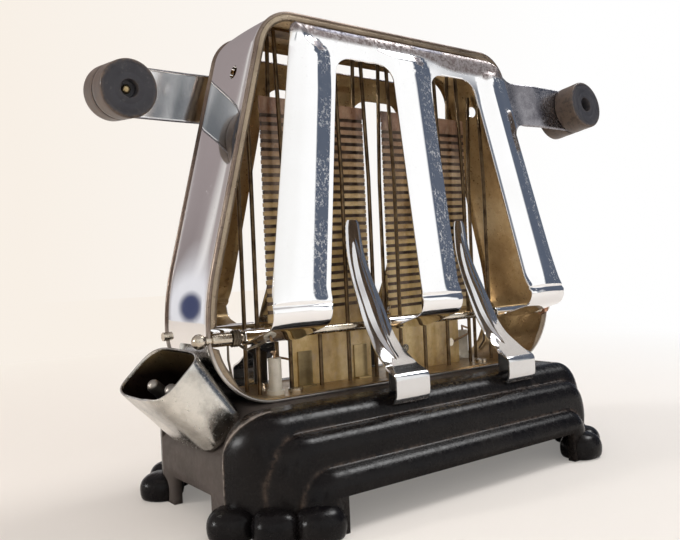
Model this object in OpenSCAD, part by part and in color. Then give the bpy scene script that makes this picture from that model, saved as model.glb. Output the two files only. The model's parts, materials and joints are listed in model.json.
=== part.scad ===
/* [Frame hoop] */
// Half of the hoop's greatest width, at the hinge level
hoop_half_w = 110; // [100:1:120]
// Height of the hoop's flat bottom above the table
hoop_bottom_z = 47; // [40:1:55]
// Height of the hoop's flat top above the table
hoop_top_z = 220.5; // [205:0.5:240]
// Depth of the hoop band, front edge to rear edge
hoop_depth = 45; // [40:1:52]
// Thickness of the hoop band
hoop_t = 1.2; // [0.8:0.1:2]
// Width of the lip turned inwards along both edges of the band
hoop_lip = 4.5; // [2:0.5:7]
// Lean of the hoop's sides from upright, in degrees
hoop_lean = 14.6; // [8:0.2:18]
// Radius of the hoop's lower corners
hoop_r_low = 32; // [24:1:36]
// Radius of the long curve above the hinge level
hoop_r_side = 110; // [80:5:150]
// Radius of the hoop's upper corners
hoop_r_top = 20; // [14:1:26]

/* [Base] */
// How far the top step's end faces stand out past the hoop's widest level
step1_past = 0; // [-2:0.5:6]
// Half depth of the top step
step1_half_y = 48.5; // [44:0.5:52]
// Set-back of the middle step's ends from the top step's
step2_back = 8.5; // [6:0.5:11]
// Half depth of the middle step
step2_half_y = 57; // [53:0.5:60]
// Height of the middle step
step2_z = 38.5; // [34:0.5:42]
// Set-back of the low step's ends from the middle step's
step3_back = 9.5; // [6:0.5:12]
// Half depth of the low step
step3_half_y = 64; // [60:0.5:68]
// Height of the low step
step3_z = 25; // [21:0.5:29]
// Radius of each step's long shoulder
shoulder_r = 8; // [5:0.5:10]
// Radius at the ends of each step, seen from the front
end_r = 18; // [12:1:22]
// Radius of each step's upright corners, seen from above
plan_r = 17; // [10:1:20]
// Wall of the base casting
base_wall = 4; // [3:0.5:6]
// Half width between the legs, along the length
leg_inner_x = 72.5; // [60:0.5:76]
// Height of the skirt's lower edge between the legs
skirt_z = 14.5; // [12:0.5:18]
// Half width of the notch in each end face
notch_half_y = 19; // [12:1:24]
// Height of the notch in each end face
notch_z = 13; // [10:0.5:16]
// Height of the rounded toes
toe_h = 12; // [9:0.5:14]
// Radius of the rounded toes
toe_r = 8.6; // [6:0.2:9.6]

/* [Hinges] */
// Distance of each hinge rod from the middle plane
rod_y = 20.6; // [18:0.1:21]
// Height of the hinge rods above the hoop's flat bottom
rod_rise = 29.6; // [25:0.1:35]
// Diameter of the hinge rods
rod_d = 4; // [3:0.1:5]
// Radial running gap between a rod and the door's knuckles
rod_gap = 0.06; // [0.03:0.01:0.1]
// Outer diameter of the rolled knuckles
knuckle_d = 6.6; // [6:0.1:8]
// Diameter of the ball at a rod's free end
ball_d = 6.4; // [5:0.2:8]

/* [Doors] */
// Thickness of the door sheet
door_t = 0.8; // [0.6:0.1:1.2]
// Distance of the door's face from the middle plane, at the top edge
door_top_y = 31.6; // [30:0.1:34]
// Height of the door's top edge
door_top_z = 214; // [200:0.5:218]
// Lean of the closed door from upright, in degrees
door_lean = 7.5; // [5:0.1:9]
// Half width of the door at its top edge
door_half_top = 69; // [64:0.5:74]
// Half width of the door at the foot of its legs
door_half_low = 93; // [88:0.5:96]
// Half width between the outer legs at the window's top
window_half_top = 46; // [42:0.5:52]
// Half width between the outer legs at their feet
window_half_low = 64.6; // [60:0.5:68]
// Half width of the middle leg
mid_leg_half = 13; // [9:0.5:13.5]
// Height of the top bar, top edge to window
top_bar_h = 13.5; // [10:0.5:20]
// Depth of the edges turned back all round the sheet
door_edge = 3.6; // [2:0.2:4.4]
// Radius where the legs curl under into the bread shelf
curl_r = 8; // [6:0.5:10]

/* [Handles] */
// Distance of a knob's axis from the middle of the toaster
knob_x = 121.5; // [116:0.5:126]
// Height of the knobs' axis
knob_z = 191; // [184:0.5:196]
// Diameter of the knob discs
knob_d = 26.5; // [22:0.5:30]
// Thickness of one knob disc
knob_t = 12; // [8:0.5:13]
// Height of the arm that carries the knob
arm_h = 24; // [18:0.5:26]
// Diameter of the rivet through the discs
rivet_d = 3.2; // [2.5:0.1:4]

/* [Bread slides] */
// Distance of the slide beside the middle leg from the middle of the toaster
slide_near_x = 23.5; // [23.5:0.5:30]
// Distance of the slide beside the outer leg from the middle of the toaster
slide_far_x = 51.4; // [48:0.1:51.4]
// Height of a slide's top end
slide_top_z = 128; // [118:0.5:134]
// Distance of a slide's top end from the middle plane
slide_top_y = 10; // [9.5:0.5:12]
// Thickness of the slide's sheet
slide_t = 1; // [0.8:0.1:1.4]
// Width of a slide at its top end
slide_top_w = 9; // [7:0.5:11]
// Width of a slide at the hinge level
slide_mid_w = 15; // [11:0.5:16]
// Width of the clip that grips the base
slide_foot_w = 20; // [17:0.5:20]

/* [Guard wires and heating] */
// Number of guard wires on each side
wire_count = 10; // [6:2:12]
// Distance between guard wires
wire_pitch = 17.2; // [14:0.2:18]
// Diameter of a guard wire
wire_d = 2; // [1.6:0.1:2.4]
// Distance of the guard wires from the middle plane
wire_y = 6; // [5:0.5:7]
// Width of one mica card
card_w = 61.5; // [50:0.5:64]
// Distance of a card's inner edge from the middle of the toaster
card_x0 = 6.5; // [4:0.5:9]
// Height of a card's wound part, lower edge
card_z0 = 80; // [78:0.5:84]
// Height of a card's top edge
card_z1 = 187; // [170:1:200]
// Thickness of a mica card
card_t = 0.8; // [0.6:0.1:1.2]
// Number of turns of ribbon on one card
turns = 24; // [12:1:24]
// Width of the heating ribbon
ribbon_w = 1.6; // [1:0.1:2]
// Thickness of the heating ribbon
ribbon_t = 0.25; // [0.2:0.05:0.4]

/* [Appliance inlet] */
// Half width of the connector cup at its floor, across the toaster
cup_half_y = 24; // [21:0.5:26]
// Half height of the connector cup at its floor
cup_half_s = 11.6; // [10.6:0.1:12]
// How much the cup's half height grows from floor to rim
cup_flare = 2.6; // [0:0.2:2.6]
// Wall of the connector cup
cup_wall = 1.2; // [0.8:0.1:1.6]
// Length of the cup, floor to rim
cup_len = 34; // [30:0.5:38]
// Length of the bare contact pins, round end included
pin_len = 22; // [16:0.5:24]
// Diameter of the contact pins
pin_d = 6; // [5:0.1:7]
// Distance between the contact pins' axes
pin_pitch = 19; // [18:0.5:20]

/* [Hidden] */
$fn = 48;

// Running clearance where a piece seats in another without touching
seat_gap = 0.1;
// Overrun of a cutter past the face that it cuts
over = 1;
// Points on a quarter of a rounded outline
arc_steps = 7;
// Places that follow the hoop's width and the height of its flat bottom
rod_z = hoop_bottom_z + rod_rise;
step1_half_x = hoop_half_w + step1_past;
step2_half_x = step1_half_x - step2_back;
step3_half_x = step2_half_x - step3_back;

function arc(cx, cy, r, from, to, n = arc_steps) =
    [for (i = [0 : n]) let (a = from + (to - from) * i / n) [cx + r * cos(a), cy + r * sin(a)]];
function mirror_x(pts) = [for (i = [len(pts) - 1 : -1 : 0]) [-pts[i][0], pts[i][1]]];
function mix(a, b, t) = a + (b - a) * t;
function unit(v) = v / norm(v);

// A closed tube of round or flat section swept along points, with mitred bends
module sweep(pts, half_a, half_b, sides, up) {
    n = len(pts);
    dirs = [for (i = [0 : n - 2]) unit(pts[i + 1] - pts[i])];
    rings = [for (i = [0 : n - 1])
        let (before = dirs[max(i - 1, 0)],
            after = dirs[min(i, n - 2)],
            along = unit(before + after),
            side = unit(cross(along, up)),
            lift = cross(side, along),
            bend = unit(before - after + [1e-9, 0, 0]),
            stretch = 1 / max(0.35, sqrt((1 + before * after) / 2)),
            bent = norm(before - after) > 0.01)
        for (k = [0 : sides - 1])
            let (a = 360 * (k + 0.5) / sides,
                p = side * half_a * cos(a) + lift * half_b * sin(a),
                out = bent ? bend * (p * bend) : [0, 0, 0])
            pts[i] + p + out * (stretch - 1)];
    caps = [[for (k = [0 : sides - 1]) k],
        [for (k = [sides - 1 : -1 : 0]) (n - 1) * sides + k]];
    walls = [for (i = [0 : n - 2], k = [0 : sides - 1])
        let (a = i * sides + k, b = i * sides + (k + 1) % sides)
        each [[a, a + sides, b + sides], [a, b + sides, b]]];
    polyhedron(rings, concat(caps, walls), convexity = 10);
}

// Half of the hoop's outline from bottom centre to top centre, drawn inside by a distance
function hoop_half(inset) =
    let (side_z = hoop_bottom_z + hoop_r_low,
        low_x = hoop_half_w - hoop_r_low,
        bend_x = hoop_half_w - hoop_r_side,
        start = [bend_x + hoop_r_side * cos(hoop_lean), side_z + hoop_r_side * sin(hoop_lean)],
        top_cz = hoop_top_z - hoop_r_top,
        end_z = top_cz + hoop_r_top * sin(hoop_lean),
        end_x = start[0] - (end_z - start[1]) * tan(hoop_lean),
        top_cx = end_x - hoop_r_top * cos(hoop_lean))
    concat([[0, hoop_bottom_z + inset]],
        arc(low_x, side_z, hoop_r_low - inset, -90, 0, 9),
        arc(bend_x, side_z, hoop_r_side - inset, 2, hoop_lean, 3),
        arc(top_cx, top_cz, hoop_r_top - inset, hoop_lean, 90, 7),
        [[0, hoop_top_z - inset]]);
module hoop_outline(inset) {
    half = hoop_half(inset);
    polygon(concat(half, [for (p = mirror_x(half)) if (p[0] != 0) p]));
}
// Hoop's half width at a height on its straight sides
function hoop_x(z) = hoop_half_w - hoop_r_side * (1 - cos(hoop_lean))
    - (z - hoop_bottom_z - hoop_r_low - hoop_r_side * sin(hoop_lean)) * tan(hoop_lean);
// Height at which the hoop's straight sides come in to a distance from the middle
function side_z(x) = hoop_bottom_z + hoop_r_low + hoop_r_side * sin(hoop_lean)
    + (hoop_half_w - hoop_r_side * (1 - cos(hoop_lean)) - x) / tan(hoop_lean);

// Turns a flat outline drawn in X and Z into a slab centred on the middle plane
module slab_y(half_y) {
    translate([0, half_y, 0]) rotate([90, 0, 0]) linear_extrude(2 * half_y) children();
}
// Turns an outline drawn in Y and Z into a bar along X
module bar_x(x0, x1) {
    translate([x0, 0, 0]) rotate([90, 0, 90]) linear_extrude(x1 - x0) children();
}
// A second copy turned half round the upright axis
module both_ways() {
    children();
    rotate([0, 0, 180]) children();
}
module rod_x(x0, x1, d, y, z) {
    translate([x0, y, z]) rotate([0, 90, 0]) cylinder(d = d, h = x1 - x0);
}

hole_x = 82.5;
hole_z = 194.7;
hole_y = 5;
hole_d = 6;
hoop_screw_x = 62;
hoop_screw_y = 12;
hoop_screw_d = 4;
lead_post_x = 72;
lead_post_y = 11;
lead_post_d = 6;

module frame_hoop() {
    color("silver") difference() {
        slab_y(hoop_depth / 2) hoop_outline(0);
        slab_y(hoop_depth / 2 - hoop_t) hoop_outline(hoop_t);
        slab_y(hoop_depth / 2 + over) hoop_outline(hoop_lip);
        intersection() {
            slab_y(hoop_depth / 2 + over) hoop_outline(hoop_t);
            translate([-hoop_half_w, -hoop_depth, hoop_bottom_z])
                cube([2 * hoop_half_w, 2 * hoop_depth, hoop_t + hoop_lip]);
        }
        for (s = [-1, 1]) {
            rod_x(hoop_half_w - 12, hoop_half_w + over, rod_d + 0.4, s * rod_y, rod_z);
            rod_x(-hoop_half_w - over, -hoop_half_w + 12, rod_d + 0.4, s * rod_y, rod_z);
            for (x = [-hoop_screw_x, hoop_screw_x])
                translate([x, s * hoop_screw_y, hoop_bottom_z - over])
                    cylinder(d = hoop_screw_d + 0.4, h = hoop_t + 2 * over);
        }
        both_ways() {
            rod_x(nut_x - over, nut_x + nut_t + 0.05, nut_af / cos(30) + 0.6, -rod_y, rod_z);
            rod_x(spacer_x0 - 0.05, spacer_x0 + hoop_lip + over, spacer_d + 0.6, -rod_y, rod_z);
            rod_x(-hole_x - 9, -hole_x + 9, hole_d, -hole_y, hole_z);
            translate([lead_post_x, lead_post_y, hoop_bottom_z - over])
                cylinder(d = lead_post_d + 0.2, h = hoop_t + 2 * over);
        }
    }
}

// One step of the base as a solid block: arch, shoulder and plan outlines cut each other
module step_block(half_x, half_y, top_z, r_end, r_shoulder, r_plan) {
    front = concat([[half_x, 0]], arc(half_x - r_end, top_z - r_end, r_end, 0, 90));
    side = concat([[half_y, 0]], arc(half_y - r_shoulder, top_z - r_shoulder, r_shoulder, 0, 90));
    wide = half_x + 0.6;
    deep = half_y + 0.6;
    corner = arc(wide - r_plan, deep - r_plan, r_plan, 0, 90);
    intersection() {
        slab_y(half_y + over) polygon(concat(front, mirror_x(front)));
        bar_x(-half_x - over, half_x + over) polygon(concat(side, mirror_x(side)));
        linear_extrude(top_z + over)
            polygon(concat(corner, mirror_x(corner), -1 * corner, -1 * mirror_x(corner)));
    }
}
step1_z = hoop_bottom_z;
module base_blocks(inset) {
    step_block(step1_half_x - inset, step1_half_y - inset, step1_z - inset,
        end_r - inset / 2, shoulder_r + 2 - inset / 2, plan_r - inset / 2);
    step_block(step2_half_x - inset, step2_half_y - inset, step2_z - inset,
        end_r - 1 - inset / 2, shoulder_r - inset / 2, plan_r - inset / 2);
    step_block(step3_half_x - inset, step3_half_y - inset, step3_z - inset,
        end_r - 2 - inset / 2, shoulder_r - inset / 2, plan_r - 3 - inset / 2);
}
toe_bulge_z = 5;
module toe(x, y, r) {
    outline = [for (i = [0 : 8]) let (a = -50 + 140 * i / 8)
        [r * cos(a), toe_bulge_z + (a < 0 ? toe_bulge_z / sin(50) : toe_h - toe_bulge_z) * sin(a)]];
    translate([x, y, 0]) rotate_extrude() polygon(concat([[0, 0]], outline));
}
toes = [[step1_half_x - 2, 35.5], [step2_half_x - 3.5, 50], [step3_half_x - 8, 60]];

seat_slope = 45;
seat_mid = [-step1_half_x + (end_r / 2), 0, hoop_bottom_z - end_r / 2];
seat_len = end_r * sqrt(2);
block_half_y = 17;
block_half_s = 7;
block_h = 7;
inlet_hole_d = 14;
// Places a piece drawn along +Z on the sloping seat at the base's left end
module on_seat(lift = 0) {
    translate(seat_mid) rotate([0, -seat_slope, 0]) translate([0, 0, lift]) children();
}

plate_z = skirt_z + 1;
plate_t = 1;
plate_screw_x = 40;
boss_d = 9;
module base_casting() {
    color([0.09, 0.085, 0.085]) difference() {
        union() {
            difference() {
                base_blocks(0);
                translate([0, 0, -over]) base_blocks(base_wall);
            }
            for (sx = [-1, 1], sy = [-1, 1], i = [0 : 2])
                toe(sx * toes[i][0], sy * toes[i][1], toe_r + (i == 2 ? 0.9 : 0));
            for (x = [-plate_screw_x, plate_screw_x])
                translate([x, 0, plate_z + plate_t]) cylinder(d = boss_d, h = step1_z - plate_z - 3);
            for (x = [-hoop_screw_x, hoop_screw_x], y = [-hoop_screw_y, hoop_screw_y])
                translate([x, y, step1_z - 16]) cylinder(d = boss_d, h = 14);
        }
        translate([-leg_inner_x, -step3_half_y - 12, -over])
            cube([2 * leg_inner_x, 2 * step3_half_y + 24, skirt_z + over]);
        translate([-step1_half_x - 12, -notch_half_y, -over])
            cube([2 * step1_half_x + 24, 2 * notch_half_y, notch_z + over]);
        translate(seat_mid) rotate([0, -seat_slope, 0]) {
            translate([-seat_len, -30, 0]) cube([2 * seat_len, 60, 30]);
            translate([0, 0, -12]) cylinder(d = inlet_hole_d, h = 13);
        }
        for (x = [-plate_screw_x, plate_screw_x])
            translate([x, 0, plate_z]) cylinder(d = 3, h = 14);
        for (x = [-hoop_screw_x, hoop_screw_x], y = [-hoop_screw_y, hoop_screw_y])
            translate([x, y, step1_z - 13]) cylinder(d = hoop_screw_d, h = 14);
        both_ways() translate([lead_post_x, lead_post_y, step1_z - base_wall - over])
            cylinder(d = lead_post_d + 0.2, h = base_wall + 2 * over);
    }
}

plate_gap = 0.8;
// Half length inside a step's rounded end at the bottom plate's top
function inner_x(half_x, top_z, r_end) =
    let (r = r_end - base_wall / 2, rise = max(0, plate_z + plate_t + 0.2 - (top_z - base_wall - r)))
    half_x - base_wall - r + sqrt(r * r - rise * rise);
module plate_slab(half_x, half_y, r) {
    wide = half_x - plate_gap;
    deep = half_y - base_wall - plate_gap;
    corner = arc(wide - r, deep - r, r, 0, 90);
    translate([0, 0, plate_z]) linear_extrude(plate_t)
        polygon(concat(corner, mirror_x(corner), -1 * corner, -1 * mirror_x(corner)));
}
module bottom_plate() {
    r = plan_r - base_wall / 2;
    color([0.45, 0.42, 0.38]) difference() {
        union() {
            plate_slab(inner_x(step1_half_x, step1_z, end_r), step1_half_y, r);
            plate_slab(inner_x(step2_half_x, step2_z, end_r - 1), step2_half_y, r);
            plate_slab(inner_x(step3_half_x, step3_z, end_r - 2), step3_half_y, r - 3);
        }
        for (x = [-plate_screw_x, plate_screw_x])
            translate([x, 0, plate_z - over]) cylinder(d = 3.4, h = plate_t + 2 * over);
    }
}
// A cheese-head screw pointing up, its head below the origin
module screw_up(d, len, head_d, head_h) {
    cylinder(d = d, h = len);
    difference() {
        translate([0, 0, -head_h]) cylinder(d = head_d, h = head_h);
        translate([-head_d, -0.4, -head_h - over]) cube([2 * head_d, 0.8, head_h / 2 + over]);
    }
}
module bottom_plate_screws() {
    color("silver") for (x = [-plate_screw_x, plate_screw_x])
        translate([x, 0, plate_z]) screw_up(2.8, 12, 6, 1.8);
}
module hoop_screws() {
    color("silver") for (x = [-hoop_screw_x, hoop_screw_x], y = [-hoop_screw_y, hoop_screw_y])
        translate([x, y, hoop_bottom_z + hoop_t]) mirror([0, 0, 1])
            screw_up(hoop_screw_d - 0.2, 12, 7, 2.2);
}

// Door face in its own plane: X across, Z up, the foot of the legs at height zero
door_h = (door_top_z - rod_z - 12) / cos(door_lean);
foot_z = door_top_z - door_h * cos(door_lean);
foot_y = -door_top_y - door_h * sin(door_lean);
window_h = door_h - top_bar_h;
function door_edge_x(z) = mix(door_half_low, door_half_top, z / door_h);
function window_x(z) = mix(window_half_low, window_half_top, z / window_h);
top_corner_r = 12;
window_r = 9;
arm_mid_h = door_h - (door_top_z - knob_z) / cos(door_lean);
arm_low = arm_mid_h - arm_h / 2;
arm_high = arm_mid_h + arm_h / 2;
arm_root_x = door_edge_x(arm_mid_h);

module window_outline(side, grow) {
    inner = mid_leg_half - grow;
    outer_top = window_x(window_h) + grow;
    top = window_h + grow;
    r = window_r + grow;
    pts = concat([[inner, -grow - over], [window_x(0) + grow, -grow - over]],
        arc(outer_top - r, top - r, r, 8, 90), arc(inner + r, top - r, r, 90, 180));
    scale([side, 1]) polygon(pts);
}
module face_outline(inset) {
    low = door_half_low - inset;
    top = door_half_top - inset;
    r = top_corner_r - inset;
    half = concat([[low, 0]], arc(top - r, door_h - inset - r, r, 8, 90));
    polygon(concat(half, mirror_x(half)));
}
module arm_outline(inset) {
    reach = knob_x;
    polygon([[arm_root_x - 16, arm_high + 3 - inset], [arm_root_x + 4, arm_high - inset],
        [reach, arm_high - inset], [reach, arm_low + inset], [arm_root_x + 6, arm_low + inset],
        [arm_root_x - 14, arm_low - 5 + inset]]);
    translate([reach, arm_mid_h]) circle(d = arm_h - 2 * inset);
}
// Sheet of the face with its edges turned back
module door_face() {
    difference() {
        linear_extrude(door_edge) face_outline(0);
        translate([0, 0, door_t]) linear_extrude(door_edge) difference() {
            face_outline(door_t);
            for (s = [-1, 1]) window_outline(s, door_t);
        }
        for (s = [-1, 1]) translate([0, 0, -over]) linear_extrude(door_edge + 2 * over)
            window_outline(s, 0);
    }
}
module door_arm() {
    linear_extrude(door_t) difference() {
        arm_outline(0);
        translate([knob_x, arm_mid_h]) circle(d = rivet_d + 0.2);
    }
}
leg_spans = [[-door_half_low, -window_half_low], [-mid_leg_half, mid_leg_half],
    [window_half_low, door_half_low]];
// The curl under each leg, in Y and Z: face foot, bend, shelf and knuckle
curl_a = [foot_y + curl_r * cos(door_lean), foot_z - curl_r * sin(door_lean)];
shelf_drop = 17;
seam = 0.08;
function curl_points(r) = arc(curl_a[0], curl_a[1], r, 170 - door_lean, 270 - shelf_drop, 7);
module curl_outline() {
    outer = curl_points(curl_r - seam);
    inner = curl_points(curl_r - seam - door_t);
    n = len(outer) - 1;
    reach = [-rod_y - 1.5, rod_z - knuckle_d / 2 + 0.4];
    polygon(concat(outer, [reach, reach + [0, door_t]],
        [for (i = [n : -1 : 0]) inner[i]]));
}
module front_door_solid() {
    translate([0, foot_y, foot_z]) rotate([90 - door_lean, 0, 0]) mirror([0, 0, 1]) {
        door_face();
        door_arm();
    }
    for (span = leg_spans) difference() {
        union() {
            bar_x(span[0] + seam, span[1] - seam) curl_outline();
            rod_x(span[0], span[1], knuckle_d, -rod_y, rod_z);
        }
        rod_x(span[0] - over, span[1] + over, rod_d + 2 * rod_gap, -rod_y, rod_z);
    }
}
module front_door() {
    color([0.82, 0.83, 0.85]) front_door_solid();
}
module rear_door() {
    color([0.82, 0.83, 0.85]) rotate([0, 0, 180]) front_door_solid();
}

nut_t = 3.2;
nut_af = 7;
rod_end_x = hoop_half_w + 1.5;
// Clearance from the hoop's curved side to what sits on a rod inside it
side_gap = 0.75;
nut_x = hoop_half_w - hoop_t - nut_t - side_gap - 0.1;
module hinge_rod() {
    rod_x(-hoop_half_w - 1, rod_end_x, rod_d, -rod_y, rod_z);
    translate([-hoop_half_w - ball_d / 2, -rod_y, rod_z]) sphere(d = ball_d);
}
module front_hinge_rod() {
    color("silver") hinge_rod();
}
module rear_hinge_rod() {
    color("silver") rotate([0, 0, 180]) hinge_rod();
}
module hinge_nuts() {
    color([0.72, 0.4, 0.25]) both_ways() difference() {
        translate([nut_x, -rod_y, rod_z]) rotate([0, 90, 0])
            cylinder(d = nut_af / cos(30), h = nut_t, $fn = 6);
        rod_x(nut_x - over, nut_x + nut_t + over, rod_d + 0.1, -rod_y, rod_z);
    }
}
spacer_d = 5.8;
spring_span = 6;
spacer_x0 = -hoop_half_w + hoop_t + side_gap;
spacer_x1 = -door_half_low - spring_span - 0.4;
module hinge_spacers() {
    color("silver") both_ways() for (span = [[spacer_x0, spacer_x1], [door_half_low + 0.3, nut_x - 0.1]])
        difference() {
            rod_x(span[0], span[1], spacer_d, -rod_y, rod_z);
            rod_x(span[0] - over, span[1] + over, rod_d + 0.1, -rod_y, rod_z);
        }
}
spring_wire = 1.2;
spring_turns = 3.25;
spring_r = rod_d / 2 + spring_wire / 2 + 0.5;
module door_spring() {
    steps = 8;
    x0 = spacer_x1 + spring_wire / 2 + 0.3;
    pitch = (spring_span - spring_wire - 0.9) / spring_turns;
    coil = [for (i = [0 : steps * spring_turns]) let (a = -360 * i / steps)
        [x0 + pitch * i / steps, -rod_y + spring_r * cos(a), rod_z + spring_r * sin(a)]];
    last = coil[len(coil) - 1];
    under = rod_z - knuckle_d / 2 - spring_wire;
    floor_x = hoop_half_w - 20;
    sweep(concat([[-floor_x, -rod_y + 5.6, corner_floor(floor_x) + spring_wire],
        [-floor_x - 6, -rod_y + 4.4, corner_floor(floor_x + 6) + spring_wire + 1],
        [x0 - 0.1, -rod_y + spring_r, rod_z - 9]], coil,
        [[last[0] + 0.8, -rod_y - 4.4, under - 0.3], [-door_half_low + 2.5, -rod_y - 8.4, under + 1.5],
        [-door_half_low + 2.5, -rod_y - 15, under + 3.5]]),
        spring_wire / 2, spring_wire / 2, 6, unit([1, 0.13, 0.07]));
}
// Height of the hoop's inner surface at a distance from the middle, on a lower corner
function corner_floor(x) = hoop_bottom_z + hoop_r_low
    - sqrt(pow(hoop_r_low - hoop_t, 2) - pow(x - hoop_half_w + hoop_r_low, 2));
module front_door_spring() {
    color([0.3, 0.28, 0.26]) door_spring();
}
module rear_door_spring() {
    color([0.3, 0.28, 0.26]) rotate([0, 0, 180]) door_spring();
}

// Front knob: the discs lie either side of the arm, on the door's own plane
knob_sink = 5;
module knob_disc(outer) {
    sink_d = 8;
    rim = 0.8;
    half = knob_d / 2;
    profile = [[0, 0], [half - rim, 0], [half, rim], [half, knob_t - rim], [half - rim, knob_t], [0, knob_t]];
    difference() {
        rotate_extrude() polygon(profile);
        translate([0, 0, -over]) cylinder(d = rivet_d + 0.1, h = knob_t + 2 * over);
        if (outer) translate([0, 0, knob_t - knob_sink]) cylinder(d = sink_d, h = knob_sink + over);
    }
}
module on_front_arm(lift) {
    translate([0, foot_y, foot_z]) rotate([90 - door_lean, 0, 0])
        translate([knob_x, arm_mid_h, lift]) children();
}
module front_knob_outer_disc() {
    color([0.12, 0.1, 0.09]) on_front_arm(0) knob_disc(true);
}
module front_knob_inner_disc() {
    color([0.12, 0.1, 0.09]) on_front_arm(-door_t) mirror([0, 0, 1]) knob_disc(true);
}
module rear_knob_outer_disc() {
    color([0.12, 0.1, 0.09]) rotate([0, 0, 180]) on_front_arm(0) knob_disc(true);
}
module rear_knob_inner_disc() {
    color([0.12, 0.1, 0.09]) rotate([0, 0, 180]) on_front_arm(-door_t) mirror([0, 0, 1]) knob_disc(true);
}
module knob_rivet() {
    reach = knob_t - knob_sink;
    head = 1;
    translate([0, 0, -door_t - reach - head]) cylinder(d = rivet_d, h = door_t + 2 * (reach + head));
    for (z = [-door_t - reach - head, reach]) translate([0, 0, z]) cylinder(d = 6.4, h = head);
}
module front_knob_rivet() {
    color([0.75, 0.6, 0.3]) on_front_arm(0) knob_rivet();
}
module rear_knob_rivet() {
    color([0.75, 0.6, 0.3]) rotate([0, 0, 180]) on_front_arm(0) knob_rivet();
}

// A slide's line in Y and Z, from its top end down and round its fold to the base's shoulder
nose_y = -step1_half_y;
top_r = shoulder_r + 2;
slide_line = [[-slide_top_y, slide_top_z], [-slide_top_y - 1.5, slide_top_z - 15],
    [-slide_top_y - 5.5, rod_z + 24], [-rod_y - 0.4, rod_z + 12], [-rod_y - 5.9, rod_z],
    [-rod_y - 12.2, rod_z - 9.4], [nose_y + 7.7, step1_z + 13.1], [nose_y + 2.6, step1_z + 9.4]];
fold_r = 1.7;
fold_line = arc(nose_y + 0.6, step1_z + 6, fold_r, 122, 180, 4);
clip_gap = 0.4;
function on_nose(a) = [nose_y + top_r, step1_z - top_r]
    + (top_r + clip_gap + slide_t / 2) * [cos(a), sin(a)];
clip_line = [[nose_y - 1.1, step1_z + 0.6], [nose_y - 0.7, step1_z - 1.6], on_nose(146)];
function thick(line, t, side) = [for (i = [0 : len(line) - 1])
    let (a = line[max(i - 1, 0)], b = line[min(i + 1, len(line) - 1)], d = unit(b - a))
    line[i] + side * t / 2 * [-d[1], d[0]]];
module ribbon_outline(line, t) {
    right = thick(line, t, 1);
    left = thick(line, t, -1);
    polygon(concat(right, [for (i = [len(left) - 1 : -1 : 0]) left[i]]));
}
whole_slide = concat(slide_line, fold_line, clip_line);
rib_line = [for (i = [1 : 7]) slide_line[i] + (i == 1 ? [0, 0] : [-0.7, -0.4])];
module slide_front_view() {
    top = slide_top_w / 2;
    mid = slide_mid_w / 2;
    foot = slide_foot_w / 2;
    lift = step1_z + 9;
    low = step1_z - 12;
    polygon([[-top + 1, slide_top_z + over], [top - 1, slide_top_z + over], [top, slide_top_z - 4],
        [mid, rod_z + 6], [mid, rod_z - 6], [foot, lift], [foot, low],
        [-foot, low], [-foot, lift], [-mid, rod_z - 6], [-mid, rod_z + 6],
        [-top, slide_top_z - 4]]);
}
module rib_front_view() {
    tall = slide_top_z - 10;
    low = step1_z + 12;
    half = 2.4;
    n = 8;
    right = [for (i = [0 : n]) let (t = i / n) [half * sin(180 * t) + 0.15, mix(low, tall, t)]];
    polygon(concat(right, mirror_x(right)));
}
// A leg turned down behind the fold, which stands the slide on the base's top
leg_y = nose_y + 10;
leg_outline = [[leg_y, step1_z + 0.1], [leg_y + slide_t, step1_z + 0.1],
    [leg_y + slide_t, step1_z + 16], [leg_y, step1_z + 15.4]];
module slide(x) {
    translate([x, 0, 0]) {
        intersection() {
            bar_x(-slide_foot_w, slide_foot_w) ribbon_outline(whole_slide, slide_t);
            slab_y(step2_half_y) slide_front_view();
        }
        intersection() {
            bar_x(-4, 4) ribbon_outline(rib_line, slide_t + 0.4);
            slab_y(step2_half_y) rib_front_view();
        }
        bar_x(-4, 4) polygon(leg_outline);
    }
}
module front_left_slide() {
    color([0.8, 0.82, 0.84]) slide(-slide_near_x);
}
module front_right_slide() {
    color([0.8, 0.82, 0.84]) slide(slide_far_x);
}
module rear_left_slide() {
    color([0.8, 0.82, 0.84]) rotate([0, 0, 180]) slide(slide_far_x);
}
module rear_right_slide() {
    color([0.8, 0.82, 0.84]) rotate([0, 0, 180]) slide(-slide_near_x);
}

floor_z = hoop_bottom_z + hoop_t;
rail_z = hoop_top_z - hoop_t - 1.6;
rail_half_y = 4.5;
// Half width of the flat under the hoop's top, between its rounded corners
hoop_flat = hoop_half(0)[len(hoop_half(0)) - 2][0];
rail_half_x = hoop_flat - seat_gap;
wire_top_y = 3;
wire_bend_z = 150;
module guard_row() {
    for (i = [0 : wire_count - 1]) {
        x = (i - (wire_count - 1) / 2) * wire_pitch;
        z_top = min(rail_z, hoop_top_z - 18,
            side_z(abs(x) + wire_d / 2 + hoop_t / cos(hoop_lean) + 1));
        top = abs(x) > rail_half_x - wire_d / 2 ? z_top : rail_z;
        lean = atan((wire_y - wire_top_y) / (rail_z - wire_bend_z));
        length = (top - wire_bend_z) / cos(lean);
        translate([x, -wire_y, floor_z]) cylinder(d = wire_d, h = wire_bend_z - floor_z);
        translate([x, -wire_y, wire_bend_z]) sphere(d = wire_d);
        translate([x, -wire_y, wire_bend_z]) rotate([-lean, 0, 0]) cylinder(d = wire_d, h = length);
    }
}
module front_guard_wires() {
    color([0.3, 0.25, 0.18]) guard_row();
}
module rear_guard_wires() {
    color([0.3, 0.25, 0.18]) rotate([0, 0, 180]) guard_row();
}
module guard_top_rail() {
    color([0.5, 0.42, 0.28]) translate([-rail_half_x, -rail_half_y, rail_z])
        cube([2 * rail_half_x, 2 * rail_half_y, 1.6]);
}

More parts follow.
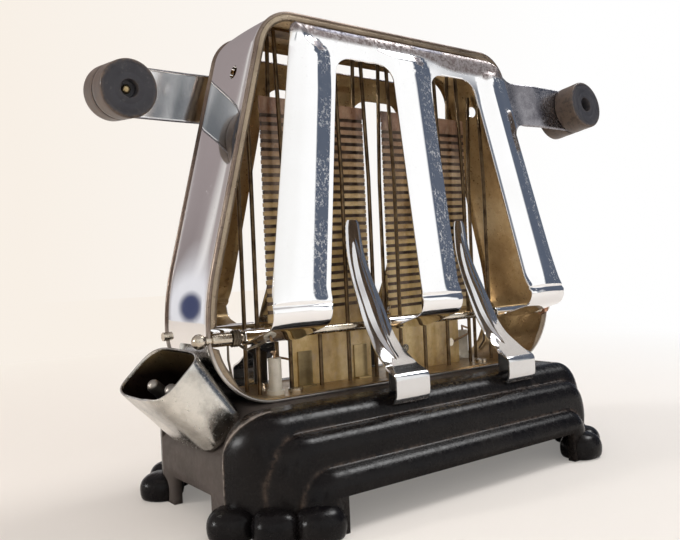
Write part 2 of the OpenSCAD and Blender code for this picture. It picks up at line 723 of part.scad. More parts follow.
wound_z0 = card_z0 + 3;
wound_z1 = card_z1 - 7;
turn_pitch = (wound_z1 - wound_z0) / turns;
notch_d = 0.9;
edge_gap = 0.15;
tab_in = 1;
tab_out = 11;
tab_z = floor_z + 0.3;
module mica_card() {
    x1 = card_x0 + card_w;
    left_teeth = [for (i = [0 : turns]) let (z = wound_z0 + turn_pitch * i)
        each [[card_x0, z - ribbon_w / 2 - 0.3], [card_x0 + notch_d, z - ribbon_w / 2 - 0.1],
            [card_x0 + notch_d, z + ribbon_w / 2 + 0.1], [card_x0, z + ribbon_w / 2 + 0.3]]];
    right_teeth = [for (i = [turns - 1 : -1 : 0]) let (z = wound_z0 + turn_pitch * (i + 0.5))
        each [[x1, z + ribbon_w / 2 + 0.3], [x1 - notch_d, z + ribbon_w / 2 + 0.1],
            [x1 - notch_d, z - ribbon_w / 2 - 0.1], [x1, z - ribbon_w / 2 - 0.3]]];
    slab_y(card_t / 2) polygon(concat([[card_x0 + tab_in, tab_z], [card_x0 + tab_in, card_z0],
        [card_x0, card_z0]], left_teeth, [[card_x0, card_z1], [x1, card_z1]], right_teeth,
        [[x1, card_z0], [x1 - tab_out, card_z0], [x1 - tab_out, tab_z]]));
}
module left_mica_card() {
    color([0.62, 0.45, 0.36]) rotate([0, 0, 180]) mica_card();
}
module right_mica_card() {
    color([0.62, 0.45, 0.36]) mica_card();
}
// Ribbon wound round the card: one unbroken flat strip, half a pitch up on each face
module heating_ribbon() {
    xa = card_x0 + notch_d - edge_gap - ribbon_t / 2;
    xb = card_x0 + card_w - notch_d + edge_gap + ribbon_t / 2;
    y = card_t / 2 + edge_gap + ribbon_t / 2;
    tail = card_z0 - 1;
    wound = [for (i = [0 : turns - 1]) let (z = wound_z0 + turn_pitch * i)
        each [[xa, -y, z], [xb, -y, z + turn_pitch / 2], [xb, y, z + turn_pitch / 2], [xa, y, z + turn_pitch]]];
    sweep(wound, ribbon_t / 2 * sqrt(2), ribbon_w / 2 * sqrt(2), 4, [0, 0, 1]);
}
echo(str("least gap between turns of the heating ribbon, mm: ", turn_pitch - ribbon_w));
module left_heating_ribbon() {
    color([0.55, 0.5, 0.45]) rotate([0, 0, 180]) heating_ribbon();
}
module right_heating_ribbon() {
    color([0.55, 0.5, 0.45]) heating_ribbon();
}

term_x = 54;
term_in_x = 12;
term_z = 56.5;
bracket_t = 1;
// Small angle brackets that stand on the hoop's floor and hold the cards' lower tabs
module card_brackets() {
    color([0.6, 0.5, 0.32]) both_ways() for (x = [term_in_x + 3, term_x - 5]) {
        translate([x - 4, card_t / 2, floor_z]) cube([8, bracket_t, 17]);
        translate([x - 4, card_t / 2, floor_z]) cube([8, wire_y - wire_d / 2 - card_t / 2 - 0.2, bracket_t]);
    }
}
module terminal_screws() {
    color("silver") both_ways() for (x = [term_in_x + 3, term_x - 5])
        translate([x, -card_t / 2, term_z + 4]) rotate([90, 0, 0]) cylinder(d = 4.4, h = 1.8);
}
module lead_posts() {
    post_h = 18;
    color([0.85, 0.8, 0.7]) both_ways() difference() {
        union() {
            translate([lead_post_x, lead_post_y, step1_z - base_wall]) cylinder(d = lead_post_d, h = post_h + base_wall);
            translate([lead_post_x, lead_post_y, floor_z]) cylinder(d = lead_post_d + 2.4, h = 2.4);
        }
        translate([lead_post_x, lead_post_y, step1_z - base_wall - over])
            cylinder(d = 2.4, h = post_h + base_wall + 2 * over);
    }
}
// Leads that rise out of the posts and run to the outer terminals
module lead_wires() {
    top = step1_z + 20;
    end = [term_x - 2.4, -card_t / 2 - 1.1, term_z + 4];
    color([0.72, 0.55, 0.35]) both_ways()
        sweep([[lead_post_x, lead_post_y, step1_z - base_wall - 8], [lead_post_x, lead_post_y, top - 0.6],
            [lead_post_x - 1.2, lead_post_y - 1, top + 0.6], [lead_post_x - 4.4, 1.5, top - 0.4],
            [lead_post_x - 8, -1.3, top - 3], end], 0.6, 0.6, 6, unit([0.1, 1, 0.05]));
}

// The inlet's axis runs square to the seat, a little below the seat's middle
inlet_shift = -1.1;
module on_inlet(lift = 0) {
    on_seat(0.05) translate([inlet_shift, 0, lift]) children();
}
cup_points = 48;
cup_power = 0.5;
cup_lean = 0.09;
cup_bevel = 2.6;
cup_floor = 1.2;
rim_tilt = 0.8;
function bent(v) = sign(v) * pow(abs(v), cup_power);
// One ring of the cup's oval, at a height over its floor and drawn in by a distance
function cup_ring(h, inset, at_rim = false) =
    let (t = h / cup_len, round_in = cup_bevel * max(0, 1 - h / cup_bevel),
        half_s = cup_half_s + cup_flare * t - inset - round_in,
        half_y = cup_half_y + cup_flare * t / 2 - inset - round_in)
    [for (i = [0 : cup_points - 1]) let (a = 360 * i / cup_points)
        [half_s * bent(cos(a)) + cup_lean * h, half_y * bent(sin(a)),
            h - (at_rim ? rim_tilt * cos(a) : 0)]];
// Joins rings of equal count into one closed skin
module skin(rings) {
    m = len(rings);
    n = len(rings[0]);
    caps = [[for (k = [0 : n - 1]) k], [for (k = [n - 1 : -1 : 0]) (m - 1) * n + k]];
    walls = [for (i = [0 : m - 2], k = [0 : n - 1])
        let (a = i * n + k, b = i * n + (k + 1) % n)
        each [[a, a + n, b + n], [a, b + n, b]]];
    polyhedron([for (r = rings) each r], concat(caps, walls), convexity = 6);
}
module connector_cup() {
    color([0.78, 0.77, 0.74]) on_inlet() difference() {
        skin([cup_ring(0, 0), cup_ring(cup_bevel * 0.3, 0), cup_ring(cup_bevel, 0), cup_ring(cup_len, 0, true)]);
        skin([cup_ring(cup_floor, cup_wall), cup_ring(cup_bevel + 0.4, cup_wall),
            cup_ring(cup_len + 3, cup_wall)]);
        translate([0, 0, -over]) cylinder(d = inlet_hole_d - 3, h = cup_floor + 2 * over);
    }
}
module connector_block() {
    color([0.3, 0.25, 0.2]) on_inlet(cup_floor) difference() {
        translate([-block_half_s, -block_half_y, 0]) cube([2 * block_half_s, 2 * block_half_y, block_h]);
        for (s = [-1, 1]) translate([0, s * pin_pitch / 2, -over]) cylinder(d = pin_d - 2, h = block_h + 2 * over);
    }
}
module contact_pins() {
    color([0.75, 0.72, 0.66]) on_inlet(cup_floor) for (s = [-1, 1]) translate([0, s * pin_pitch / 2, 0]) {
        translate([0, 0, block_h]) cylinder(d = pin_d, h = pin_len - pin_d / 2);
        translate([0, 0, block_h + pin_len - pin_d / 2]) sphere(d = pin_d);
        translate([0, 0, 0.2]) cylinder(d = pin_d - 2.2, h = block_h);
    }
}

base_casting();
bottom_plate();
bottom_plate_screws();
frame_hoop();
hoop_screws();
front_door();
rear_door();
front_hinge_rod();
rear_hinge_rod();
hinge_nuts();
hinge_spacers();
front_door_spring();
rear_door_spring();
front_knob_outer_disc();
front_knob_inner_disc();
rear_knob_outer_disc();
rear_knob_inner_disc();
front_knob_rivet();
rear_knob_rivet();
front_left_slide();
front_right_slide();
rear_left_slide();
rear_right_slide();
front_guard_wires();
rear_guard_wires();
guard_top_rail();
left_mica_card();
right_mica_card();
left_heating_ribbon();
right_heating_ribbon();
card_brackets();
terminal_screws();
lead_posts();
lead_wires();
connector_cup();
connector_block();
contact_pins();
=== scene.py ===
import json
import math

import bmesh
import bpy
from mathutils import Matrix, Vector


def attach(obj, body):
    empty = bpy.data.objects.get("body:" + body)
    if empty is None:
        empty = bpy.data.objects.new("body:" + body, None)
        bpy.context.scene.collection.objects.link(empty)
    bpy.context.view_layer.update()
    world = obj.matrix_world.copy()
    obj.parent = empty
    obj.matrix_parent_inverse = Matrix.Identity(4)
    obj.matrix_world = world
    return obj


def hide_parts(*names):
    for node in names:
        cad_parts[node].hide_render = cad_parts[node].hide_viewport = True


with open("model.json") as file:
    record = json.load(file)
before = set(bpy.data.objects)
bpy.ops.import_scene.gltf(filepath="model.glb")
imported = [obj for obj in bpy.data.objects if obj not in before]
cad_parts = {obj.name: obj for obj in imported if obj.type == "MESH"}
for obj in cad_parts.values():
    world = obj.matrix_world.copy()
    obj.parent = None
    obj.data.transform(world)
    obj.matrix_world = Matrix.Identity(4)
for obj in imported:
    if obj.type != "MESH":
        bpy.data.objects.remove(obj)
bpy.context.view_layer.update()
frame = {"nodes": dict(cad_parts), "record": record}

# The camera, as solved from the photograph: place in metres, angles in radians
CAMERA_AT = Vector((-0.24014, -0.29113, 0.10273))
CAMERA_YAW = -0.63688
CAMERA_PITCH = -0.00254
CAMERA_ROLL = -0.04378
CAMERA_LENS = 38.0
SENSOR = 36.0


def make_camera():
    data = bpy.data.cameras.new("camera")
    data.sensor_width = SENSOR
    data.lens = CAMERA_LENS
    data.clip_start = 0.01
    data.clip_end = 50
    camera = bpy.data.objects.new("camera", data)
    bpy.context.scene.collection.objects.link(camera)
    bpy.context.scene.camera = camera
    level = math.cos(CAMERA_PITCH)
    forward = Vector((-math.sin(CAMERA_YAW) * level, math.cos(CAMERA_YAW) * level, -math.sin(CAMERA_PITCH)))
    right = Vector((math.cos(CAMERA_YAW), math.sin(CAMERA_YAW), 0))
    up = right.cross(forward)
    c, s = math.cos(CAMERA_ROLL), math.sin(CAMERA_ROLL)
    axes = (right * c + up * s, up * c - right * s, -forward)
    turn = Matrix([[a[i] for a in axes] for i in range(3)])
    camera.matrix_world = Matrix.Translation(CAMERA_AT) @ turn.to_4x4()


make_camera()


# Materials

def new_material(name):
    material = bpy.data.materials.new(name)
    material.use_nodes = True
    nodes = material.node_tree.nodes
    nodes.clear()
    out = nodes.new("ShaderNodeOutputMaterial")
    shader = nodes.new("ShaderNodeBsdfPrincipled")
    material.node_tree.links.new(shader.outputs["BSDF"], out.inputs["Surface"])
    return material, shader


class Graph:
    """Short ways to add and join a material's nodes."""

    def __init__(self, material):
        self.nodes = material.node_tree.nodes
        self.links = material.node_tree.links
        self.place = self.add("ShaderNodeTexCoord").outputs["Object"]

    def add(self, kind, **values):
        node = self.nodes.new(kind)
        for key, value in values.items():
            setattr(node, key, value)
        return node

    def noise(self, scale, detail=4.0, rough=0.6, stretch=(1, 1, 1)):
        mapping = self.add("ShaderNodeMapping")
        mapping.inputs["Scale"].default_value = [scale * s for s in stretch]
        self.links.new(self.place, mapping.inputs["Vector"])
        node = self.add("ShaderNodeTexNoise")
        node.inputs["Scale"].default_value = 1.0
        node.inputs["Detail"].default_value = detail
        node.inputs["Roughness"].default_value = rough
        self.links.new(mapping.outputs["Vector"], node.inputs["Vector"])
        return node.outputs["Fac"]

    def ramp(self, source, stops):
        node = self.add("ShaderNodeValToRGB")
        elements = node.color_ramp.elements
        while len(elements) < len(stops):
            elements.new(0.5)
        for element, (at, color) in zip(elements, stops):
            element.position = at
            element.color = (*color, 1) if len(color) == 3 else color
        self.links.new(source, node.inputs["Fac"])
        return node.outputs["Color"]

    def fit(self, source, low, high, to_low, to_high):
        node = self.add("ShaderNodeMapRange")
        for key, value in zip(("From Min", "From Max", "To Min", "To Max"), (low, high, to_low, to_high)):
            node.inputs[key].default_value = value
        self.links.new(source, node.inputs["Value"])
        return node.outputs["Result"]

    def mix(self, amount, a, b):
        node = self.add("ShaderNodeMix", data_type="RGBA")
        self.links.new(amount, node.inputs["Factor"])
        for key, value in (("A", a), ("B", b)):
            socket = [s for s in node.inputs if s.name == key and s.type == "RGBA"][0]
            if isinstance(value, tuple):
                socket.default_value = (*value, 1)
            else:
                self.links.new(value, socket)
        return [s for s in node.outputs if s.type == "RGBA"][0]

    def product(self, a, b):
        node = self.add("ShaderNodeMath", operation="MULTIPLY")
        self.links.new(a, node.inputs[0])
        self.links.new(b, node.inputs[1])
        return node.outputs["Value"]

    def total(self, a, b):
        node = self.add("ShaderNodeMath", operation="ADD")
        self.links.new(a, node.inputs[0])
        self.links.new(b, node.inputs[1])
        return node.outputs["Value"]

    def attribute(self, name):
        return self.add("ShaderNodeAttribute", attribute_name=name).outputs["Fac"]

    def axis(self, name):
        parts = self.add("ShaderNodeSeparateXYZ")
        self.links.new(self.place, parts.inputs["Vector"])
        return parts.outputs[name]

    def across(self, place, low, high, left, right):
        """A colour that passes from left to right, as the camera sees it at rest."""
        dot = self.add("ShaderNodeVectorMath", operation="DOT_PRODUCT")
        self.links.new(place, dot.inputs[0])
        dot.inputs[1].default_value = (0.804, -0.595, 0)
        return self.mix(self.fit(dot.outputs["Value"], low, high, 0, 1), left, right)

    def bump(self, shader, height, strength, distance):
        node = self.add("ShaderNodeBump")
        node.inputs["Strength"].default_value = strength
        node.inputs["Distance"].default_value = distance
        self.links.new(height, node.inputs["Height"])
        self.links.new(node.outputs["Normal"], shader.inputs["Normal"])


def metal(name, dark, light, rough_low, rough_high, grain=60, metallic=1.0, bump=0.05, stretch=(1, 1, 1)):
    material, shader = new_material(name)
    graph = Graph(material)
    shader.inputs["Metallic"].default_value = metallic
    broad = graph.noise(grain, 5, 0.6)
    fine = graph.noise(grain * 14, 3, 0.7, stretch)
    graph.links.new(graph.ramp(broad, [(0.3, dark), (0.62, light)]), shader.inputs["Base Color"])
    graph.links.new(graph.fit(fine, 0.3, 0.75, rough_low, rough_high), shader.inputs["Roughness"])
    graph.bump(shader, fine, bump, 0.0002)
    return material


def chrome(name="chrome", dull=0.0, tone=0.94, metallic=1.0):
    """Old plating: bright, with pale freckles where it has gone dull, and painted dark reflection, dark mauve to
    blue-black, on the door's top strip and hook tips.
    """
    material, shader = new_material(name)
    graph = Graph(material)
    shader.inputs["Metallic"].default_value = metallic
    haze = graph.noise(28, 5, 0.6)
    freckle = graph.noise(620, 5, 0.75)
    patch = graph.noise(75, 4, 0.6)
    base = graph.ramp(haze, [(0.3, (tone - 0.05, tone - 0.052, tone - 0.055)), (0.7, (tone, tone, tone + 0.005))])
    mark = graph.attribute("wear_and_painted_light")
    spots = graph.product(graph.fit(freckle, 0.60, 0.68, 0, 1), graph.fit(patch, 0.46, 0.62, 0, 0.8))
    folds = graph.product(graph.fit(mark, 0.03, 0.12, 0, 1), graph.fit(freckle, 0.50, 0.58, 0, 1))
    spots = graph.total(spots, graph.product(folds, graph.fit(patch, 0.36, 0.56, 0.2, 1)))
    color = graph.mix(graph.fit(spots, 0, 1, 0, 0.1), base, (0.55, 0.50, 0.46))
    # Marks from 0.2 to 1 (the door's top strip) turn the plating dark mauve and rough: the dark colour is painted dark
    # reflection. Marks above 1 (the hook tips) go blue-black, also painted dark reflection.
    marked = graph.product(graph.fit(mark, 0.2, 1, 0, 1), graph.fit(freckle, 0.42, 0.56, 0.8, 1))
    color = graph.mix(marked, color, (0.19, 0.155, 0.15))
    color = graph.mix(graph.fit(mark, 1, 1.8, 0, 1), color, (0.10, 0.10, 0.125))
    graph.links.new(color, shader.inputs["Base Color"])
    shine = graph.total(graph.fit(haze, 0.3, 0.75, 0.03 + dull, 0.07 + 2 * dull), graph.fit(spots, 0, 1, 0, 0.42))
    graph.links.new(graph.total(shine, graph.fit(marked, 0, 1, 0, 0.4)), shader.inputs["Roughness"])
    graph.bump(shader, graph.noise(9, 2, 0.5), 0.06, 0.002)
    return material


def heat_tint(name, dark, middle, light, below=None):
    """The plating's inner side, browned by years of heat. Below is (height, height, colour) of a change lower down."""
    material, shader = new_material(name)
    graph = Graph(material)
    shader.inputs["Metallic"].default_value = 0.85
    tone = graph.noise(19, 5, 0.6)
    freckle = graph.noise(500, 4, 0.7)
    base = graph.ramp(tone, [(0.28, dark), (0.5, middle), (0.72, light)])
    color = graph.mix(graph.fit(freckle, 0.58, 0.7, 0, 0.6), base, dark)
    if below:
        color = graph.mix(graph.fit(graph.axis("Z"), below[0], below[1], 1, 0), color, below[2])
    graph.links.new(color, shader.inputs["Base Color"])
    graph.links.new(graph.fit(freckle, 0.3, 0.75, 0.24, 0.46), shader.inputs["Roughness"])
    return material


def enamel():
    """Black stove enamel: matt brown-grey on the middle of the ends, worn brown along the grooves, and light grey along
    the sharp edges beside the ends, partly rubbed enamel and partly painted highlight.
    """
    material, shader = new_material("black_enamel")
    graph = Graph(material)
    broad = graph.noise(45, 6, 0.62)
    dust = graph.noise(260, 6, 0.75)
    grit = graph.noise(900, 3, 0.7)
    away = graph.add("ShaderNodeMath", operation="ABSOLUTE")
    graph.links.new(graph.axis("Y"), away.inputs[0])
    mark = graph.attribute("wear_and_painted_light")
    matt = graph.product(graph.fit(away.outputs["Value"], 0.0300, 0.0307, 1, 0), graph.fit(mark, -1, -0.5, 0, 1))
    base = graph.ramp(broad, [(0.35, (0.0035, 0.003, 0.0035)), (0.7, (0.009, 0.0075, 0.007))])
    color = graph.mix(matt, base, graph.ramp(broad, [(0.3, (0.055, 0.045, 0.039)), (0.7, (0.085, 0.070, 0.062))]))
    color = graph.mix(graph.fit(dust, 0.62, 0.74, 0, 0.35), color, (0.06, 0.048, 0.04))
    marked = graph.product(graph.fit(mark, 0, 1, 0, 1), graph.fit(dust, 0.40, 0.60, 0, 0.7))
    color = graph.mix(marked, color, (0.085, 0.06, 0.045))
    # Marks of 1.2 to 2, on the sharp edges beside the ends, turn light grey: partly rubbed enamel, partly painted
    # highlight.
    edge = graph.product(graph.fit(mark, 1.2, 2, 0, 1), graph.fit(dust, 0.36, 0.55, 0.3, 1))
    color = graph.mix(edge, color, (0.30, 0.26, 0.23))
    graph.links.new(color, shader.inputs["Base Color"])
    shine = graph.total(graph.fit(dust, 0.35, 0.72, 0.13, 0.42), graph.fit(matt, 0, 1, 0, 0.3))
    graph.links.new(shine, shader.inputs["Roughness"])
    shader.inputs["Specular IOR Level"].default_value = 0.13
    graph.bump(shader, graph.total(grit, dust), 0.16, 0.0004)
    return material


def plastic(name, dark, light, rough_low, rough_high, grain=90, bump=0.1):
    return metal(name, dark, light, rough_low, rough_high, grain, 0.0, bump)


def mica():
    """Pressed mica: dark purple-brown higher up and golden near its foot, where the bright gold is painted light
    shining through the sheet.
    """
    material, shader = new_material("mica")
    graph = Graph(material)
    cloud = graph.noise(34, 5, 0.6)
    flake = graph.noise(240, 3, 0.6, (1, 1, 0.5))
    upper_tone = graph.ramp(cloud, [(0.3, (0.10, 0.045, 0.03)), (0.5, (0.34, 0.19, 0.12)), (0.7, (0.68, 0.47, 0.31))])
    # The pale gold lower down is painted light shining through the mica.
    lower_painted_glow = graph.ramp(cloud, [(0.3, (0.30, 0.17, 0.06)), (0.5, (0.66, 0.46, 0.19)), (0.7, (0.92, 0.74, 0.42))])
    color = graph.mix(graph.fit(graph.axis("Z"), 0.12, 0.18, 0, 1), lower_painted_glow, upper_tone)
    color = graph.mix(graph.fit(flake, 0.55, 0.75, 0, 0.5), color, (0.62, 0.48, 0.34))
    graph.links.new(color, shader.inputs["Base Color"])
    graph.links.new(graph.fit(flake, 0.3, 0.7, 0.18, 0.42), shader.inputs["Roughness"])
    graph.bump(shader, flake, 0.08, 0.0003)
    return material


def moulded():
    """Dark brown-black moulding with paler rubbed rims."""
    material, shader = new_material("knob_plastic")
    graph = Graph(material)
    tone = graph.noise(70, 5, 0.6)
    dust = graph.noise(420, 5, 0.75)
    base = graph.ramp(tone, [(0.32, (0.024, 0.024, 0.030)), (0.7, (0.044, 0.043, 0.050))])
    color = graph.mix(graph.fit(dust, 0.58, 0.72, 0, 0.5), base, (0.15, 0.14, 0.14))
    color = graph.mix(graph.fit(graph.attribute("wear_and_painted_light"), 1.5, 2, 0, 1), color, (0.055, 0.042, 0.036))
    marked = graph.product(graph.attribute("wear_and_painted_light"), graph.fit(dust, 0.42, 0.60, 0.1, 0.8))
    color = graph.mix(marked, color, (0.11, 0.080, 0.062))
    graph.links.new(color, shader.inputs["Base Color"])
    graph.links.new(graph.fit(dust, 0.35, 0.7, 0.3, 0.5), shader.inputs["Roughness"])
    shader.inputs["Specular IOR Level"].default_value = 0.3
    graph.bump(shader, dust, 0.12, 0.0002)
    return material


MATERIALS = {
    "black_enamel": enamel(),
    "dark_plate": metal("dark_plate", (0.03, 0.03, 0.03), (0.07, 0.065, 0.06), 0.4, 0.6, metallic=0.3),
    "chrome": chrome(),
    "heat_tint": heat_tint("heat_tint", (0.15, 0.085, 0.035), (0.40, 0.27, 0.125), (0.68, 0.54, 0.33)),
    "edge_tint": heat_tint("edge_tint", (0.05, 0.035, 0.028), (0.14, 0.10, 0.08), (0.30, 0.24, 0.19),
                           (0.066, 0.084, (0.56, 0.53, 0.50))),
    "lip_tint": heat_tint("lip_tint", (0.09, 0.065, 0.045), (0.24, 0.185, 0.13), (0.44, 0.36, 0.26)),
    "arm_chrome": chrome("arm_chrome", 0.06, 0.74),
    # The arms' faces: dark grey plating standing in for the dark reflection on the arms, a painted dark reflection,
    # with higher roughness.
    "arm_dull": metal("arm_dull", (0.09, 0.085, 0.10), (0.36, 0.35, 0.37), 0.14, 0.4, 55),
    "slide_chrome": chrome("slide_chrome", 0.025, 0.72, 0.95),
    "screw_steel": metal("screw_steel", (0.42, 0.36, 0.28), (0.72, 0.66, 0.56), 0.16, 0.34),
    "nut_copper": metal("nut_copper", (0.22, 0.10, 0.06), (0.62, 0.34, 0.22), 0.26, 0.48, 150),
    "spring_steel": metal("spring_steel", (0.09, 0.07, 0.05), (0.26, 0.22, 0.17), 0.35, 0.55),
    "knob_plastic": moulded(),
    "brass": metal("brass", (0.22, 0.16, 0.08), (0.56, 0.44, 0.24), 0.28, 0.48),
    "guard_wire": metal("guard_wire", (0.045, 0.028, 0.016), (0.20, 0.14, 0.08), 0.26, 0.48, 140),
    "mica": mica(),
    "ribbon": metal("ribbon", (0.035, 0.025, 0.02), (0.15, 0.11, 0.085), 0.3, 0.5, 120),
    "ceramic": plastic("ceramic", (0.5, 0.45, 0.36), (0.75, 0.7, 0.6), 0.25, 0.45),
    "lead_copper": metal("lead_copper", (0.16, 0.09, 0.05), (0.45, 0.3, 0.17), 0.35, 0.55),
    "cup_nickel": metal("cup_nickel", (0.28, 0.27, 0.25), (0.70, 0.68, 0.63), 0.12, 0.32, 60),
    # Lower down, below 0.060 to 0.075 m, the cup's inside turns near-black: painted shade in its depth.
    "cup_inside": heat_tint("cup_inside", (0.07, 0.04, 0.02), (0.26, 0.18, 0.08), (0.52, 0.42, 0.24),
                            (0.060, 0.075, (0.022, 0.013, 0.009))),
    "block_resin": plastic("block_resin", (0.02, 0.016, 0.013), (0.06, 0.05, 0.04), 0.45, 0.7),
    "pin_steel": metal("pin_steel", (0.14, 0.13, 0.12), (0.40, 0.37, 0.33), 0.3, 0.5, 120),
}

slots = {row["node"]: row["material_slot"] for row in frame["record"]["subparts"]}
for name, node in frame["nodes"].items():
    node.data.materials.clear()
    node.data.materials.append(MATERIALS[slots[name]])


# Shapes: lengths below are in millimetres, in the frame of the CAD model

MM = 0.001


def spread(low, high, count):
    return [low + (high - low) * i / (count - 1) for i in range(count)]


def mix(a, b, t):
    return a + (b - a) * t


def step(x, low, high):
    t = min(1.0, max(0.0, (x - low) / (high - low)))
    return t * t * (3 - 2 * t)


def slope(x, low, high):
    """A nearly straight fall from 1 to 0."""
    t = min(1.0, max(0.0, (x - low) / (high - low)))
    return 1 - 0.8 * t - 0.2 * t * t * (3 - 2 * t)


def turned(points):
    return [(-x, -y, z) for x, y, z in points]


def make_piece(name, points, faces, materials, body, node, angle=32, index=None, wear_and_painted_light=None):
    mesh = bpy.data.meshes.new(name)
    mesh.from_pydata([(x * MM, y * MM, z * MM) for x, y, z in points], [], faces)
    for material in materials:
        mesh.materials.append(material)
    if index:
        mesh.polygons.foreach_set("material_index", index)
    marks = mesh.attributes.new("wear_and_painted_light", "FLOAT", "POINT")
    marks.data.foreach_set("value", wear_and_painted_light if wear_and_painted_light else [0.0] * len(points))
    b = bmesh.new()
    b.from_mesh(mesh)
    bmesh.ops.remove_doubles(b, verts=b.verts, dist=2e-6)
    bmesh.ops.dissolve_degenerate(b, edges=b.edges, dist=2e-6)
    b.to_mesh(mesh)
    b.free()
    mesh.polygons.foreach_set("use_smooth", [True] * len(mesh.polygons))
    mesh.set_sharp_from_angle(angle=math.radians(angle))
    piece = bpy.data.objects.new(name, mesh)
    bpy.context.scene.collection.objects.link(piece)
    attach(piece, body)
    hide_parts(node)
    return piece


def thicken(piece, thickness, inner=0, rim=0):
    solid = piece.modifiers.new("sheet", "SOLIDIFY")
    solid.thickness = thickness * MM
    solid.offset = -1
    solid.use_even_offset = True
    solid.thickness_clamp = 0
    solid.material_offset = inner
    solid.material_offset_rim = rim
    return solid


def loop_faces(rings, count, closed_rings=False, flip=False):
    """Quads between rings of equal count, each ring closed on itself."""
    faces = []
    last = rings if closed_rings else rings - 1
    for i in range(last):
        for k in range(count):
            a, b = i * count + k, i * count + (k + 1) % count
            c, d = ((i + 1) % rings) * count + (k + 1) % count, ((i + 1) % rings) * count + k
            faces.append((a, d, c, b) if flip else (a, b, c, d))
    return faces


# Base: one skin swept over three arches, one in front of and below the other

ARCHES = ((110, 47, 18), (101.5, 38.5, 17), (92, 25, 16))
BASE_WALL = 4
LEG_X, SKIRT_Z, NOTCH_Y, NOTCH_Z, SEAT_Y = 72.5, 14.5, 19, 13, 30


def arch_stations():
    """(share along, kind, angle) marks common to the three arches, from the left foot over to the right one."""
    marks = [("side", t) for t in (0, 0.07, 0.16, 0.26, 0.36, NOTCH_Z / 29, 0.58, 0.72, 0.86)]
    marks += [("bend", a) for a in spread(0, 90, 13)]
    left = marks[:]
    flat = [("top", t) for t in spread(0, 1, 26)[1:-1]]
    return [(-1, m) for m in left] + [(-1, m) for m in flat] + [(1, m) for m in reversed(left)]


def arch_point(arch, sign, mark):
    half, top, r = arch
    kind, t = mark
    if kind == "side":
        return sign * half, (top - r) * t
    if kind == "bend":
        a = math.radians(t)
        return sign * (half - r + r * math.cos(a)), top - r + r * math.sin(a)
    return sign * (half - r) * (1 - 2 * t), top


def shoulder(half, r, skip, depth, count=20):
    """(depth, distance from the middle plane) along one step's rounded shoulder, down to a depth."""
    start = math.acos(1 - skip / r)
    end = math.acos(max(-1, 1 - min(r, depth + skip) / r))
    line = [(r * (1 - math.cos(a)) - skip, half - r + r * math.sin(a)) for a in spread(start, end, count)]
    if depth + skip > r:
        line.append((depth, half))
    return line


def resample(line, count):
    sums = [0.0]
    for a, b in zip(line, line[1:]):
        sums.append(sums[-1] + math.dist(a, b))
    out, i = [], 0
    for want in spread(0, sums[-1], count):
        while i < len(line) - 2 and sums[i + 1] < want:
            i += 1
        span = sums[i + 1] - sums[i]
        t = 0 if span < 1e-9 else (want - sums[i]) / span
        out.append(tuple(mix(p, q, t) for p, q in zip(line[i], line[i + 1])))
    return out


def cut_line(line, back):
    """The line less a length at its end."""
    line = line[:]
    while len(line) > 2 and math.dist(line[-2], line[-1]) < back:
        back -= math.dist(line[-2], line[-1])
        line.pop()
    t = min(0.9, back / math.dist(line[-2], line[-1]))
    line[-1] = tuple(mix(q, p, t) for p, q in zip(line[-2], line[-1]))
    return line


def base_section(side):
    """The skin's section at a station, side being 1 on an upright end and 0 on top: (depth, y, wear) points."""
    c, s = side
    up = s * s
    d12 = 7.5 * (c + s) + 1
    d23 = 8.5 * c + 12.5 * s + 1
    steps = [(mix(52, 48.5, up), mix(26, 10, up), mix(0.4, 0, up), 0),
             (57, mix(17, 8, up), 0, d12), (64, mix(14, 8, up), 0, d12 + d23)]

    def height(k, depth):
        half, r, skip, at = steps[k]
        e = depth - at + skip
        return half - r + math.sqrt(r * r - (r - e) ** 2) if e < r else half

    grooves = []
    for k in (0, 1):
        low, high = steps[k + 1][3], steps[k + 1][3] + 6
        if height(k, low) > height(k + 1, low):
            for _ in range(40):
                mid = (low + high) / 2
                if height(k, mid) > height(k + 1, mid):
                    low = mid
                else:
                    high = mid
        grooves.append(low)
    lines = []
    for k in range(3):
        half, r, skip, at = steps[k]
        begin = 0 if k == 0 else grooves[k - 1] - at
        end = (grooves[k] if k < 2 else at + r) - at
        line = [(at + d, y) for d, y in shoulder(half, r, skip + begin, end - begin, 24)]
        line = [(d + begin, y) for d, y in line]
        lines.append(line)
    out = []
    soft = 1.5
    for k, line in enumerate(lines):
        if k:
            line = cut_line(line[::-1], soft)[::-1]
        if k < 2:
            line = cut_line(line, soft)
        sampled = resample(line, (14, 13, 12)[k])
        n = len(sampled)
        for i, (d, y) in enumerate(sampled):
            near = min(i if k else 99, n - 1 - i if k < 2 else 99)
            out.append((d, y, 0.1 if near == 0 else 0))
        if k < 2:
            a, b = line[-1], cut_line(lines[k + 1][::-1], soft)[-1]
            corner = lines[k][-1]
            for t in (0.25, 0.5, 0.75):
                p = [mix(mix(u, v, t), mix(v, w, t), t) for u, v, w in zip(a, corner, b)]
                out.append((p[0], p[1], 1.0 if t == 0.5 else 0.5))
    return out, (d12, d23)


